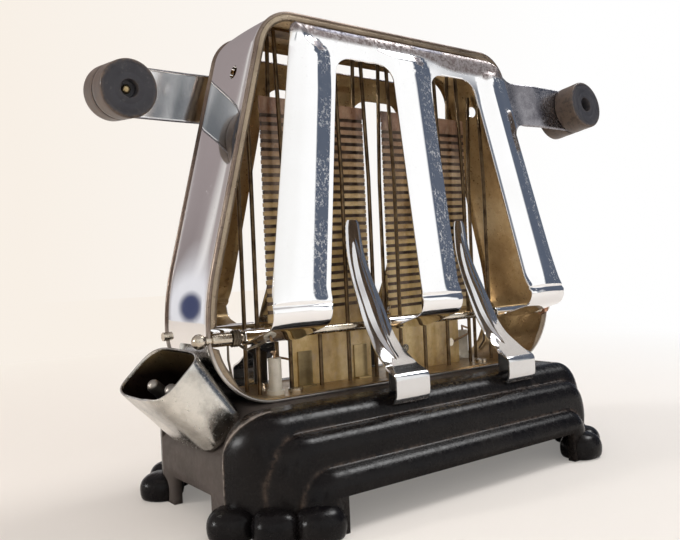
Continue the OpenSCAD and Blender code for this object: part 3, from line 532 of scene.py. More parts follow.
def make_base(enamel, inside):
    stations = arch_stations()
    points, wear_and_painted_light, rows = [], [], []
    for sign, mark in stations:
        kind, t = mark
        a = {"side": 0, "top": 90}.get(kind, t)
        c, s = math.cos(math.radians(a)), math.sin(math.radians(a))
        section, (d12, d23) = base_section((c, s))
        outer = [arch_point(arch, sign, mark) for arch in ARCHES]
        inward = (-c * sign, -s)

        def place(d):
            if d <= d12:
                return [mix(p, q, d / d12) for p, q in zip(outer[0], outer[1])]
            if d <= d12 + d23:
                return [mix(p, q, (d - d12) / d23) for p, q in zip(outer[1], outer[2])]
            return [p + i * (d - d12 - d23) for p, i in zip(outer[2], inward)]

        row = []
        for d, y, w in reversed(section):
            x, z = place(d)
            row.append((x, -y, z, w))
        x, z = outer[0]
        seat = outer[0]
        if sign < 0 and kind == "bend":
            seat = (-110 + 18 * t / 90, 29 + 18 * t / 90)
        # Mark 2 on the sharp edge beside the end face draws a light grey line: partly rubbed enamel, partly painted
        # highlight.
        row[-1] = (*row[-1][:3], 2.0 if kind != "top" else 0)
        row.append((x, -SEAT_Y - 0.1, z, 0))
        row += [(seat[0], y, seat[1], 0) for y in (-SEAT_Y, -NOTCH_Y, 0, NOTCH_Y, SEAT_Y)]
        row.append((x, SEAT_Y + 0.1, z, 0))
        for i, (d, y, w) in enumerate(section):
            x, z = place(d)
            row.append((x, y, z, w if i or kind == "top" else 2.0))
        rows.append(row)
    wide = len(rows[0])
    for row in rows:
        for x, y, z, w in row:
            points.append((x, y, z))
            wear_and_painted_light.append(w)
    faces = []
    middle = wide // 2
    for i in range(len(rows) - 1):
        for k in range(wide - 1):
            low_z = max(rows[i][k][2], rows[i + 1][k][2], rows[i][k + 1][2])
            if k in (middle - 1, middle) and low_z < NOTCH_Z + 0.01:
                continue
            a = i * wide + k
            faces.append((a, a + wide, a + wide + 1, a + 1))
    for k, y, turn in ((0, -64, False), (wide - 1, 64, True)):
        rim = [i * wide + k for i in range(len(rows))]
        first = len(points)
        for x, z in ((LEG_X, 0), (LEG_X, SKIRT_Z), (-LEG_X, SKIRT_Z), (-LEG_X, 0)):
            points.append((x, y, z))
            wear_and_painted_light.append(0.2)
        face = rim + [first, first + 1, first + 2, first + 3]
        faces.append(tuple(face) if turn else tuple(reversed(face)))
    piece = make_piece("base_skin", points, faces, [enamel, inside], "frame", "base_casting",
                       angle=50, wear_and_painted_light=wear_and_painted_light)
    thicken(piece, BASE_WALL, inner=1)


TOES = ((109.0, 35.0, 10.0, 9.6, 12.0, 40), (98.2, 50.0, 9.6, 9.6, 12.4, 25), (84.0, 59.6, 10.4, 9.8, 13.0, 0))


def make_toes(enamel):
    points, faces, wear_and_painted_light = [], [], []
    count, rings = 36, 15
    for sx, sy in ((-1, -1), (1, -1), (1, 1), (-1, 1)):
        for x0, y0, a, b, high, angle in TOES:
            first = len(points)
            turn = math.radians(angle) * sx * sy * -1
            for i in range(rings):
                if i < 5:
                    z = (0, 0.5, 1.4, 3.0, 5.0)[i]
                    share = (0.80, 0.9, 0.955, 0.99, 1.0)[i]
                else:
                    up = math.radians(90 * (i - 4) / (rings - 4))
                    z = 5 + (high - 5) * math.sin(up) ** 0.9
                    share = math.cos(up) ** 0.72
                for k in range(count):
                    t = 2 * math.pi * k / count
                    u = a * share * math.copysign(abs(math.cos(t)) ** 0.82, math.cos(t))
                    v = b * share * math.copysign(abs(math.sin(t)) ** 0.82, math.sin(t))
                    x = u * math.cos(turn) - v * math.sin(turn)
                    y = u * math.sin(turn) + v * math.cos(turn)
                    points.append((sx * x0 + x, sy * y0 + y, z))
                    wear_and_painted_light.append(-1)
            faces += [tuple(first + f for f in face) for face in loop_faces(rings, count)]
            faces.append(tuple(first + k for k in range(count - 1, -1, -1)))
            faces.append(tuple(first + (rings - 1) * count + k for k in range(count)))
    make_piece("base_toes", points, faces, [enamel], "frame", "base_casting", angle=60, wear_and_painted_light=wear_and_painted_light)


# Hoop: a C-shaped band with two beaded edges, swept round its outline

HOOP = dict(half=110, low=47, top=220.5, lean=14.6, r_low=32, r_side=110, r_top=20)
ROD_Y, ROD_Z = 20.6, 76.6


def hoop_path():
    """Points and outward normals from bottom centre up the right side to top centre."""
    h = HOOP
    lean = math.radians(h["lean"])
    side_z = h["low"] + h["r_low"]
    sx, sz = h["r_side"] * math.cos(lean), side_z + h["r_side"] * math.sin(lean)
    top_cz = h["top"] - h["r_top"]
    ez = top_cz + h["r_top"] * math.sin(lean)
    ex = sx - (ez - sz) * math.tan(lean)
    cx = ex - h["r_top"] * math.cos(lean)
    out = [(x, h["low"], 0, -1) for x in spread(0, 70, 12)]
    low_x = h["half"] - h["r_low"]
    angles = list(spread(-90, -16, 20)) + [-14.4, -13.3, -10, -5, 0]
    for a in angles:
        c, s = math.cos(math.radians(a)), math.sin(math.radians(a))
        out.append((low_x + h["r_low"] * c, side_z + h["r_low"] * s, c, s))
    for a in (1.2, 1.75, 4, 6.5, 9, 12, h["lean"]):
        c, s = math.cos(math.radians(a)), math.sin(math.radians(a))
        out.append((h["r_side"] * c, side_z + h["r_side"] * s, c, s))
    for t in spread(0, 1, 18)[1:-1]:
        out.append((mix(sx, ex, t), mix(sz, ez, t), math.cos(lean), math.sin(lean)))
    for a in spread(h["lean"], 90, 16):
        c, s = math.cos(math.radians(a)), math.sin(math.radians(a))
        out.append((cx + h["r_top"] * c, top_cz + h["r_top"] * s, c, s))
    out += [(cx * (1 - t), h["top"], 0, 1) for t in spread(0, 1, 14)[1:]]
    return out


def hoop_profile(lip):
    """Closed section as (height outward, y, part), part 1 being the tinted inside."""
    outer = [(-0.12, 0, 0), (-0.15, -5, 0), (-0.24, -10, 0), (-0.40, -15, 0), (-0.54, -18.2, 0), (-0.66, -19.3, 2),
             (-0.84, -19.9, 2), (-0.84, -20.3, 2)]
    for a in (-55, -35, -15, 5, 25, 45, 65, 90):
        outer.append((-1.0 + math.cos(math.radians(a)), -21.4 - math.sin(math.radians(a)), 2))
    for t, y in ((0.06, -22.35), (0.14, -22.15), (0.24, -22.2), (0.42, -22.42), (0.62, -22.5), (0.82, -22.38), (1.0, -22.1)):
        outer.append((-mix(1.15, lip, t), y, 3))
    inner = [(-lip - 0.2, -21.8, 3), (-lip - 0.05, -21.55, 1), (-mix(1.7, lip, 0.3) - 0.1, -21.55, 1), (-1.9, -21.3, 1),
             (-1.65, -20.6, 1), (-1.6, -14, 1), (-1.6, -7, 1), (-1.6, 0, 1)]
    half = outer + inner
    back = [(n, -y, part) for n, y, part in reversed(half[1:-1])]
    return half + back


def make_hoop(materials):
    right = hoop_path()
    path = right + [(-x, z, -nx, nz) for x, z, nx, nz in reversed(right[1:-1])]
    points, faces, index, wear_and_painted_light = [], [], [], []
    for x, z, nx, nz in path:
        lip = mix(1.5, 4.2, step(z, 50, 60)) if z < 71 else 4.2
        if 71.9 < z < 81.4:
            lip = 1.5
        profile = hoop_profile(lip)
        for n, y, part in profile:
            points.append((x + nx * n, y, z + nz * n))
            wear_and_painted_light.append(1.0 if 19.7 < abs(y) < 20.5 and n > -1.2 else 0.0)
    count = len(profile)
    faces = loop_faces(len(path), count, closed_rings=True)
    for i in range(len(path)):
        for k in range(count):
            index.append(min(profile[k][2], profile[(k + 1) % count][2]))
    piece = make_piece("hoop_band", points, faces, materials, "frame", "frame_hoop", angle=38,
                       index=index, wear_and_painted_light=wear_and_painted_light)
    for side, mark in ((-1, "left"), (1, "right")):
        drill = bpy.data.meshes.new("drill_" + mark)
        b = bmesh.new()
        bmesh.ops.create_cone(b, cap_ends=True, segments=32, radius1=3 * MM, radius2=3 * MM, depth=14 * MM)
        lean = math.radians(HOOP["lean"])
        b.transform(Matrix.Translation((side * 83.2 * MM, side * 5 * MM, 194.7 * MM))
                    @ Matrix.Rotation(math.radians(90) - side * lean * 0, 4, "Y"))
        b.to_mesh(drill)
        b.free()
        tool = bpy.data.objects.new("drill_" + mark, drill)
        cut = piece.modifiers.new("hole_" + mark, "BOOLEAN")
        cut.operation = "DIFFERENCE"
        cut.solver = "EXACT"
        cut.object = tool
        bpy.context.scene.collection.objects.link(tool)
    apply_modifiers(piece, 38)
    for mark in ("left", "right"):
        bpy.data.objects.remove(bpy.data.objects["drill_" + mark])
    return piece


def apply_modifiers(piece, angle):
    """Turns a piece's modifiers into its mesh."""
    evaluated = piece.evaluated_get(bpy.context.evaluated_depsgraph_get())
    mesh = bpy.data.meshes.new_from_object(evaluated, preserve_all_data_layers=True,
                                           depsgraph=bpy.context.evaluated_depsgraph_get())
    piece.modifiers.clear()
    piece.data = mesh
    mesh.polygons.foreach_set("use_smooth", [True] * len(mesh.polygons))
    mesh.set_sharp_from_angle(angle=math.radians(angle))


# Doors: one pressed sheet each, drawn in the plane of its face (x across, h up from the legs' feet)

DOOR = dict(t=0.8, lean=7.5, foot_y=-48.11, foot_z=88.6, h=126.48, window=112.98, r_top=12, r_win=9, curl=8,
            arm=103.28, arm_half=12, knob=121.5)
CURL_END, SHELF, ROLL = 8 * math.radians(80.5), 21.93, 3.3 * math.radians(322)
ROLL_EDGE, DEEP, RAISED, RAISED_OUT, ARM_SET = 3.4, 3.6, 2.4, 2.3, 1.5


def door_point(x, h, drop=0.0):
    """A point on the sheet's outer surface, pushed in by a drop. Below the feet the sheet curls under."""
    lean = math.radians(DOOR["lean"])
    y0, z0, r = DOOR["foot_y"], DOOR["foot_z"], DOOR["curl"]
    if h >= 0:
        y = y0 + h * math.sin(lean) + drop * math.cos(lean)
        z = z0 + h * math.cos(lean) - drop * math.sin(lean)
        return x, y, z
    cy, cz = y0 + r * math.cos(lean), z0 - r * math.sin(lean)
    run = -h
    if run <= CURL_END:
        a = math.radians(172.5) + run / r
        return x, cy + (r - drop) * math.cos(a), cz + (r - drop) * math.sin(a)
    a = math.radians(253)
    run -= CURL_END
    if run <= SHELF:
        return (x, cy + (r - drop) * math.cos(a) - run * math.sin(a),
                cz + (r - drop) * math.sin(a) + run * math.cos(a))
    a += (run - SHELF) / 3.3
    return x, -ROD_Y + (3.3 - drop) * math.cos(a), ROD_Z + (3.3 - drop) * math.sin(a)


def door_side(h, left=False):
    """Half width of the sheet at a height. The corner over the left leg is nearly square."""
    if left and h > 100:
        full = 93 - 24.12 * h / 116.15
        return full - 3 + math.sqrt(max(0, 9 - (h - DOOR["h"] + 3) ** 2)) if h > DOOR["h"] - 3 else full
    if h > 116.15:
        return 57 + 12 * math.cos(math.asin(min(1, (h - 114.48) / 12)))
    return 93 - 24.12 * max(0, h) / 116.15


def window_side(h):
    if h > 105.23:
        return 37 + 9 * math.cos(math.asin(min(1, (h - 103.98) / 9)))
    return 64.6 - 18.69 * (max(0, h) + 1) / 106.23


def middle_side(h):
    return 22 - 9 * math.cos(math.asin(min(1, (h - 103.98) / 9))) if h > 103.98 else 13


def panel_fall(a, b, r, side, over):
    """Drop beside a raised panel whose corner has radius r, at distances a and b inside its side and its top.
    Side and over are (drop, width) of the slopes there."""
    if a < r and b < r:
        reach = math.hypot(r - a, r - b)
        inside, t = r - reach, ((r - b) / reach) ** 2
    else:
        inside, t = min(a, b), 0 if a < b else 1
    return mix(side[0], over[0], t) * slope(inside, 0, mix(side[1], over[1], t))


def door_drop(x, h):
    """How far the pressed sheet lies behind the plane of its face."""
    side = abs(x)
    fade = step(h, 0, 9)
    top = DOOR["h"] - h
    wide = door_side(h, x < 0)
    edge = (wide - side) * 0.979
    if x > 0 and h >= 114.48:
        edge = 12 - math.hypot(max(0, side - 57), h - 114.48) if side > 57 else top
    arm = step(abs(h - DOOR["arm"]), 11.5, 17) if x > 0 else 1
    s = min(mix(ROLL_EDGE, min(edge, ROLL_EDGE), arm), top / 1.4)
    s = min(ROLL_EDGE, max(0.0, s))
    roll = ROLL_EDGE - math.sqrt(max(0.0, ROLL_EDGE ** 2 - (ROLL_EDGE - s) ** 2))
    # raised panel of each leg, with a rounded top
    reach = DOOR["h"] - 6.0 - h
    outer = 0
    if side < 25:
        leg = max(panel_fall(12.9 - x, reach, 10, (RAISED, 10), (1.9, 3.8)), RAISED * slope(x, -25, -11))
    else:
        inside = side - (window_side(min(h, 96)) + 2.4)
        if h > 96:
            inside = side - (window_side(96) + 2.4 - 0.106 * (h - 96))
        leg = panel_fall(inside, reach, 13, (RAISED, 8.2), (1.9, 3.8)) * (1 - step(side, 58, 65) * step(h, 90, 108))
        outer = mix(ARM_SET, RAISED_OUT, arm) * slope(edge, 0.8, 8.5) * step(top, 3, 12) * mix(0.43, 1, step(h, 0, 24))
    panel = max(mix(0.2 * leg, leg, fade), outer)
    roll *= mix(0.2, 1, fade)
    crease = 0.55 * math.exp(-((h - 1.4) / 0.85) ** 2)
    return min(DEEP, panel + (DEEP - panel) * roll / ROLL_EDGE + crease)


def hook_painted_dark(x, h):
    """Marks for the tips where the legs' panels round off below the top strip, which the plating draws dark and dull:
    painted dark reflection.
    """
    inside = 12.9 - x if abs(x) < 25 else abs(x) - (window_side(96) + 2.4 - 0.106 * (h - 96))
    climb = door_drop(x, h + 0.3) - door_drop(x, h - 0.3)
    return (1.7 if x < 25 else 1) * step(climb, 0.05, 0.13) * (1 - step(inside, 7, 13))


def door_rows():
    """Heights of the mesh's rows, from the rolled knuckle up to the top edge."""
    rows = [-CURL_END - SHELF - r for r in spread(0, ROLL, 20)[::-1]]
    rows += [-CURL_END - r for r in spread(0, SHELF, 7)[::-1][1:-1]]
    rows += [-r for r in spread(0, CURL_END, 12)[::-1]]
    rows += [0.35, 0.7, 1.05, 1.4, 1.75, 2.1, 2.5, 3, 3.7, 4.8, 6.2, 8, 10]
    rows += spread(12.5, 82, 26)
    rows += [83.5, 85, 86.2]
    rows += [91.28 - 4 * (1 - math.sin(math.radians(a))) for a in (12, 25, 40, 58, 75)]
    rows += [91.28, 91.6, 92.1, 92.8, 94, 96, 98.5, 101, 103.3]
    rows += [103.98 + 9 * math.sin(math.radians(a)) for a in (4, 9, 14, 20, 26, 33, 40, 48, 57, 67, 78, 90)]
    rows += [113.7, 114.4, 114.9, 115.28]
    rows += [115.28 + 4 * (1 - math.cos(math.radians(a))) for a in (22, 36, 50, 63, 77)]
    rows += [118.3, 119.6, 120.3, 121.0, 121.7]
    rows += [DOOR["h"] - ROLL_EDGE * (1 - math.sin(math.radians(a))) for a in (0, 12, 24, 36, 48, 60, 72, 82)]
    rows += [DOOR["h"]]
    out = []
    for h in sorted(rows):
        if not out or h - out[-1] > 0.12:
            out.append(h)
    out[-1] = DOOR["h"]
    return out


CLUSTER = (0, 0.07, 0.25, 0.6, 1.1, 1.7, 2.4, 3.1, 3.9, 4.7, 5.6, 6.6, 7.8, 9.6, 12)


def across(low, high):
    half = (high - low) / 2
    left = [low + half * c / 13.2 for c in CLUSTER]
    right = [high - half * c / 13.2 for c in reversed(CLUSTER)]
    return left + [(low + high) / 2] + right


def arm_reach(h):
    """How far the arm's root and arm reach past the door's side at a height: (fillet, full)."""
    d = abs(h - DOOR["arm"]) - DOOR["arm_half"]
    if d <= 1e-6:
        return 4.0, DOOR["knob"] + math.sqrt(max(0, DOOR["arm_half"] ** 2 - (h - DOOR["arm"]) ** 2))
    if d < 4:
        return 4 - math.sqrt(16 - (4 - d) ** 2), None
    return None, None


def make_door(name, rear, materials):
    points, faces, index, wear_and_painted_light = [], [], [], []
    grid = []
    knuckle = -CURL_END - SHELF
    for h in door_rows():
        side, win, mid = door_side(h), window_side(h), middle_side(h)
        open_low = h <= DOOR["window"] - 1e-6
        row = {}
        legs = {"L": across(-door_side(h, True), -win), "M": across(-mid, mid), "R": across(win, side)}
        if not open_low:
            legs["LW"] = [mix(-37, -22, t) for t in spread(0, 1, 13)][1:-1]
            legs["WR"] = [mix(22, 37, t) for t in spread(0, 1, 13)][1:-1]
        root, full = arm_reach(h)
        if root is not None:
            legs["A"] = [side + root * t for t in spread(0, 1, 7)][1:]
        if full is not None:
            start = side + 4
            legs["B"] = [mix(start, full, t) for t in spread(0, 1, 26)][1:]
        for key, xs in legs.items():
            ids = []
            for x in xs:
                gap = 0.1 if h < 0 else 0.0
                if key in "AB":
                    near = DOOR["arm_half"] - abs(h - DOOR["arm"])
                    near = max(0.0, min(0.9, near))
                    drop = (0.9 - math.sqrt(max(0, 0.81 - (0.9 - near) ** 2))) * step(x - side, 2, 8)
                    set_back = ARM_SET * (1 - step(x - side, 4, 24))
                    drop += mix(door_drop(side, h), set_back, step(x - side, 0, 4))
                elif h < 0:
                    low, high = xs[0], xs[-1]
                    x = min(high - gap, max(low + gap, x))
                    edge = min(0.6, x - low - gap, high - gap - x)
                    drop = 0.35 * (1 - math.sqrt(max(0, 1 - (1 - edge / 0.6) ** 2)))
                    if h < knuckle:
                        drop = 0
                    else:
                        drop += 0.25 * (1 - step(min(x - low, high - x), 0, 4)) * step(h, -CURL_END - 4, 0)
                        if key != "M":
                            drop += 0.99 * slope(high - x if key == "R" else x - low, 0.8, 8.5) * step(h, -CURL_END, 0)
                else:
                    drop = door_drop(x, h)
                ids.append(len(points))
                points.append(door_point(x, h, drop))
                marked = 0.0
                # The door's top strip gets mark 1 and the hook tips up to 1.7, which the plating draws dark mauve to
                # blue-black: painted dark reflection. The small marks on right-facing slopes give dull freckles.
                if h > 0 and key not in "AB":
                    strip = mix(5.8, 10.5, step(x, 4, 34))
                    marked = max(1 - step(DOOR["h"] - h, strip - 1.3, strip + 1.2), 0.12 * step(h, 2, 6) * step(side - abs(x), 2.5, 4.5)
                               * step(door_drop(min(x + 0.3, xs[-1]), h) - door_drop(x - 0.3, h), 0.02, 0.07))
                    if h > 100:
                        marked = max(marked, hook_painted_dark(x, h))
                wear_and_painted_light.append(marked)
            row[key] = ids
        grid.append((h, row))
    for (h0, low), (h1, high) in zip(grid, grid[1:]):
        chains = []
        for key in ("L", "M", "R"):
            chains.append((low[key], high[key], 0))
        if "LW" in low and "LW" in high:
            for key, a, b in (("LW", "L", "M"), ("WR", "M", "R")):
                chains.append(([low[a][-1]] + low[key] + [low[b][0]], [high[a][-1]] + high[key] + [high[b][0]], 0))
        # Material 2 on the arm's faces is a dark grey plating: painted dark reflection.
        if "A" in low and "A" in high:
            chains.append(([low["R"][-1]] + low["A"], [high["R"][-1]] + high["A"], 2))
        if "B" in low and "B" in high:
            chains.append(([low["A"][-1]] + low["B"], [high["A"][-1]] + high["B"], 2))
        for a, b, kind in chains:
            for k in range(len(a) - 1):
                faces.append((a[k], a[k + 1], b[k + 1], b[k]))
                index.append(kind)
    node, body = ("rear_door", "rear_door") if rear else ("front_door", "front_door")
    if rear:
        points = turned(points)
    piece = make_piece(name, points, faces, materials, body, node, angle=55, index=index, wear_and_painted_light=wear_and_painted_light)
    thicken(piece, DOOR["t"], inner=1)


# Round pieces on the arms

def knob_profile():
    """Half section of one disc as (radius, height over the arm, wear)."""
    line = [(1.75, 0, 0), (9, 0, 0), (12.7, 0, 0), (13.1, 0.25, 0.6), (13.25, 0.8, 0.8), (13.25, 3.5, 0.3), (13.2, 6, 0.25),
            (13.25, 8.5, 0.3), (13.25, 11.1, 0.8)]
    line += [(12.35 + 0.9 * math.cos(math.radians(a)), 11.1 + 0.9 * math.sin(math.radians(a)), 1.0) for a in (25, 50, 75)]
    line += [(12.1, 12.0, 0.6), (11.5, 11.96, 0.1), (11.2, 11.86, 0.1), (10.9, 11.95, 0.1), (9, 11.95, 0), (7.3, 11.93, 0),
             (7.0, 11.84, 0), (6.7, 11.93, 0), (5, 11.95, 0), (4.25, 11.92, 0.3), (4.0, 11.6, 0.5), (3.95, 9, 0), (3.9, 7.1, 0),
             (3.6, 7.0, 0), (1.75, 7.0, 0)]
    return line


def make_knob(name, node, rear, inner, material):
    count = 72
    points, wear_and_painted_light = [], []
    profile = knob_profile()
    for r, lift, marked in profile:
        for k in range(count):
            a = 2 * math.pi * k / count
            wobble = 1 - 0.0012 * (1 + math.sin(3 * a + lift)) if r > 12 else 1
            out = -(DOOR["t"] + lift) if inner else lift
            points.append(door_point(DOOR["knob"] + r * wobble * math.cos(a), DOOR["arm"] + r * wobble * math.sin(a), -out))
            wear_and_painted_light.append(2 if r > 12.9 else marked)
    if rear:
        points = turned(points)
    faces = loop_faces(len(profile), count, closed_rings=True, flip=inner)
    body = "rear_door" if rear else "front_door"
    make_piece(name, points, faces, [material], body, node, angle=40, wear_and_painted_light=wear_and_painted_light)


def make_rivet(name, node, rear, material):
    """Small domed rivet through both discs and the arm."""
    count, seat = 48, 7.0
    head = [(1.7, -0.02), (2.1, 0.02), (2.15, 0.25), (2.0, 0.75), (1.6, 1.15), (1.0, 1.4), (0.4, 1.5)]
    profile = [(r, -DOOR["t"] - seat - rise) for r, rise in reversed(head)] + [(r, seat + rise) for r, rise in head]
    points = []
    for r, lift in profile:
        for k in range(count):
            a = 2 * math.pi * k / count
            points.append(door_point(DOOR["knob"] + r * math.cos(a), DOOR["arm"] + r * math.sin(a), -lift))
    if rear:
        points = turned(points)
    faces = loop_faces(len(profile), count)
    faces += [tuple(range(count - 1, -1, -1)), tuple((len(profile) - 1) * count + k for k in range(count))]
    make_piece(name, points, faces, [material], "rear_door" if rear else "front_door", node, angle=40)


# Bread slides: a bent strip with a lens-shaped rib

SLIDE_LINE = [(-10, 128), (-11.5, 113), (-15.5, 100.6), (-21, 88.6), (-26.5, 76.6), (-32.8, 67.2), (-40.2, 60.6),
              (-43.4, 58.1), (-47.9, 56.0)]
FOLD_R = 3.2


def curve_through(line, per_span):
    """A smooth curve through points, by Catmull and Rom's rule."""
    out = []
    for i in range(len(line) - 1):
        p0, p1, p2, p3 = line[max(i - 1, 0)], line[i], line[i + 1], line[min(i + 2, len(line) - 1)]
        for j in range(per_span):
            t = j / per_span
            out.append(tuple(0.5 * (2 * b + (c - a) * t + (2 * a - 5 * b + 4 * c - d) * t * t + (3 * b - a - 3 * c + d) * t ** 3)
                             for a, b, c, d in zip(p0, p1, p2, p3)))
    out.append(line[-1])
    return out


def slide_half_width(z):
    marks = ((128.5, 2.6), (127.6, 3.5), (126, 4.2), (124, 4.5), (105, 5.8), (82.6, 7.5), (70.6, 7.6), (62, 8.9), (56, 10), (40, 10))
    for (z1, w1), (z0, w0) in zip(marks, marks[1:]):
        if z >= z0:
            return mix(w0, w1, min(1, (z - z0) / (z1 - z0)))
    return marks[-1][1]


def slide_curve():
    """The slide's middle line: down to its fold, round it and along the base's shoulder."""
    line = curve_through(SLIDE_LINE, 7)
    line += [(-46.6 + FOLD_R * math.cos(a), 53.08 + FOLD_R * math.sin(a))
             for a in spread(math.radians(114), math.pi, 12)[1:]]
    return line + [(-49.8, z) for z in (51.6, 50.2, 49.0, 47.8)] + [(-49.7, 46.6), (-49.3, 45.4), (-48.7, 44.3), (-47.8, 43.1)]


def make_slide(name, node, x0, rear, plated, plain):
    line = slide_curve()
    points, count, n = [], 0, len(line)
    us = [math.sin(math.pi / 2 * t) for t in spread(-1, 1, 27)]
    for i, (y, z) in enumerate(line):
        a, b = line[max(i - 1, 0)], line[min(i + 1, n - 1)]
        d = math.dist(a, b)
        ny, nz = (b[1] - a[1]) / d, -(b[0] - a[0]) / d
        half = slide_half_width(z)
        lens = math.sin(math.pi * min(1, max(0, (z - 60) / (118 - 60)))) ** 0.7 if 60 < z < 118 else 0
        ring = []
        for u in us:
            x = half * (0.3 * u + 0.7 * math.asin(u) * 2 / math.pi)
            wide = 0.3 + 2.7 * lens
            rib = 0.85 * min(1, 2 * lens) * math.exp(-(x / wide) ** 4) if lens else 0
            crown = -mix(0.15, 0.4, step(z, 57, 66)) * (x / half) ** 4
            ring.append((x0 + x, y + ny * (0.5 + rib + crown), z + nz * (0.5 + rib + crown)))
        for u in reversed(us):
            x = half * (0.3 * u + 0.7 * math.asin(u) * 2 / math.pi)
            ring.append((x0 + x, y - ny * 0.5, z - nz * 0.5))
        count = len(ring)
        points += ring
    faces = loop_faces(n, count)
    faces.append(tuple(range(count - 1, -1, -1)))
    faces.append(tuple((n - 1) * count + k for k in range(count)))
    leg = len(points)
    for x in (x0 - 4, x0 + 4):
        for y, z in ((-38.5, 47.1), (-37.5, 47.1), (-37.5, 62.4), (-38.5, 61.8)):
            points.append((x, y, z))
    if rear:
        points = turned(points)
    make_piece(name, points[:leg], faces, [plated], "frame", node, angle=50)
    f = ((0, 1, 2, 3), (7, 6, 5, 4), (0, 4, 5, 1), (1, 5, 6, 2), (2, 6, 7, 3), (3, 7, 4, 0))
    foot = make_piece(name + "_leg", points[leg:], [tuple(q) for q in f], [plain], "frame", node)
    edge = foot.modifiers.new("edge", "BEVEL")
    edge.width = 0.25 * MM
    edge.segments = 2


# Inlet cup: an oval shell on the sloping seat

def cup_point(s, y, a):
    r = math.sqrt(0.5)
    return -101.78 - 0.035 + (s - a) * r, y, 37.22 + 0.035 + (s + a) * r


def cup_ring(h, inset, count):
    low = max(0.0, 2.6 - h)
    pulled = 2.6 - math.sqrt(2.6 ** 2 - low ** 2) if inset == 0 else max(0, 1.6 - math.sqrt(max(0, 1.6 ** 2 - max(0.0, 2.8 - h) ** 2)))
    t = h / 34
    half_s = 11.6 + 2.6 * t - inset - pulled
    half_y = 24 + 1.3 * t - inset - pulled
    ring = []
    for k in range(count):
        a = 2 * math.pi * k / count
        c, s = math.cos(a), math.sin(a)
        u = half_s * math.copysign(abs(c) ** 0.5, c)
        v = half_y * math.copysign(abs(s) ** 0.5, s)
        d = ((math.degrees(a) - 200 + 180) % 360) - 180
        rim = -0.8 * c + 1.0 * math.exp(-(d / 17) ** 2) - 0.7 * math.exp(-((d + 38) / 24) ** 2)
        dent = 0.12 * math.sin(2 * a + h * 0.14) * math.sin(h * 0.21 + 1) * min(1, h / 6)
        ring.append((u + 0.09 * h + dent * c, v + dent * s, h + rim * t ** 3))
    return ring


def make_cup(nickel, inside):
    count = 96
    rings, part = [], []

    def add(ring, p):
        rings.append(ring)
        part.append(p)

    def hole(r, h):
        return [(r * math.cos(2 * math.pi * k / count), r * math.sin(2 * math.pi * k / count), h) for k in range(count)]

    add(hole(5.5, 0), 0)
    for h in (0.001, 0.25, 0.7, 1.3, 2.0, 2.6, 5, 8, 12, 16, 20, 24, 28, 31, 33):
        add(cup_ring(h, 0, count), 0)
    add([(s, y, h) for s, y, h in cup_ring(33.8, 0.1, count)], 0)
    add([(s, y, h) for s, y, h in cup_ring(34, 0.5, count)], 0)
    add([(s, y, h) for s, y, h in cup_ring(33.8, 0.95, count)], 0)
    for h in (32.8, 30, 26, 21, 16, 11, 7, 4, 2.9, 2.2, 1.6, 1.25):
        add(cup_ring(h, 1.1, count), 1)
    add(hole(5.5, 1.25), 1)
    points = [cup_point(*p) for ring in rings for p in ring]
    faces = loop_faces(len(rings), count, closed_rings=True)
    index = [1 if part[i] and part[(i + 1) % len(rings)] else 0 for i in range(len(rings)) for _ in range(count)]
    wear_and_painted_light = [1.0 if 15 <= i // count <= 18 else 0.0 for i in range(len(points))]
    make_piece("cup_shell", points, faces, [nickel, inside], "frame", "connector_cup", angle=40, index=index,
               wear_and_painted_light=wear_and_painted_light)


# All smooth pieces

make_base(MATERIALS["black_enamel"], MATERIALS["dark_plate"])
make_toes(MATERIALS["black_enamel"])
make_hoop([MATERIALS[key] for key in ("chrome", "heat_tint", "edge_tint", "lip_tint")])
sheet_sides = [MATERIALS[key] for key in ("chrome", "heat_tint", "arm_dull", "arm_chrome")]
make_door("front_door_sheet", False, sheet_sides)
make_door("rear_door_sheet", True, sheet_sides)
for end, rear in (("front", False), ("rear", True)):
    make_knob(end + "_knob_outside", end + "_knob_outer_disc", rear, False, MATERIALS["knob_plastic"])
    make_knob(end + "_knob_inside", end + "_knob_inner_disc", rear, True, MATERIALS["knob_plastic"])
    make_rivet(end + "_rivet", end + "_knob_rivet", rear, MATERIALS["brass"])
    make_slide(end + "_slide_a", end + "_left_slide", -23.5, rear, MATERIALS["slide_chrome"], MATERIALS["dark_plate"])
    make_slide(end + "_slide_b", end + "_right_slide", 51.4, rear, MATERIALS["slide_chrome"], MATERIALS["dark_plate"])
make_cup(MATERIALS["cup_nickel"], MATERIALS["cup_inside"])


# Floor, backdrop and light

FLOOR_HALF = 4.0
WALL_LEFT, WALL_RIGHT = (0.94, 0.87, 0.79), (1.0, 1.0, 1.0)


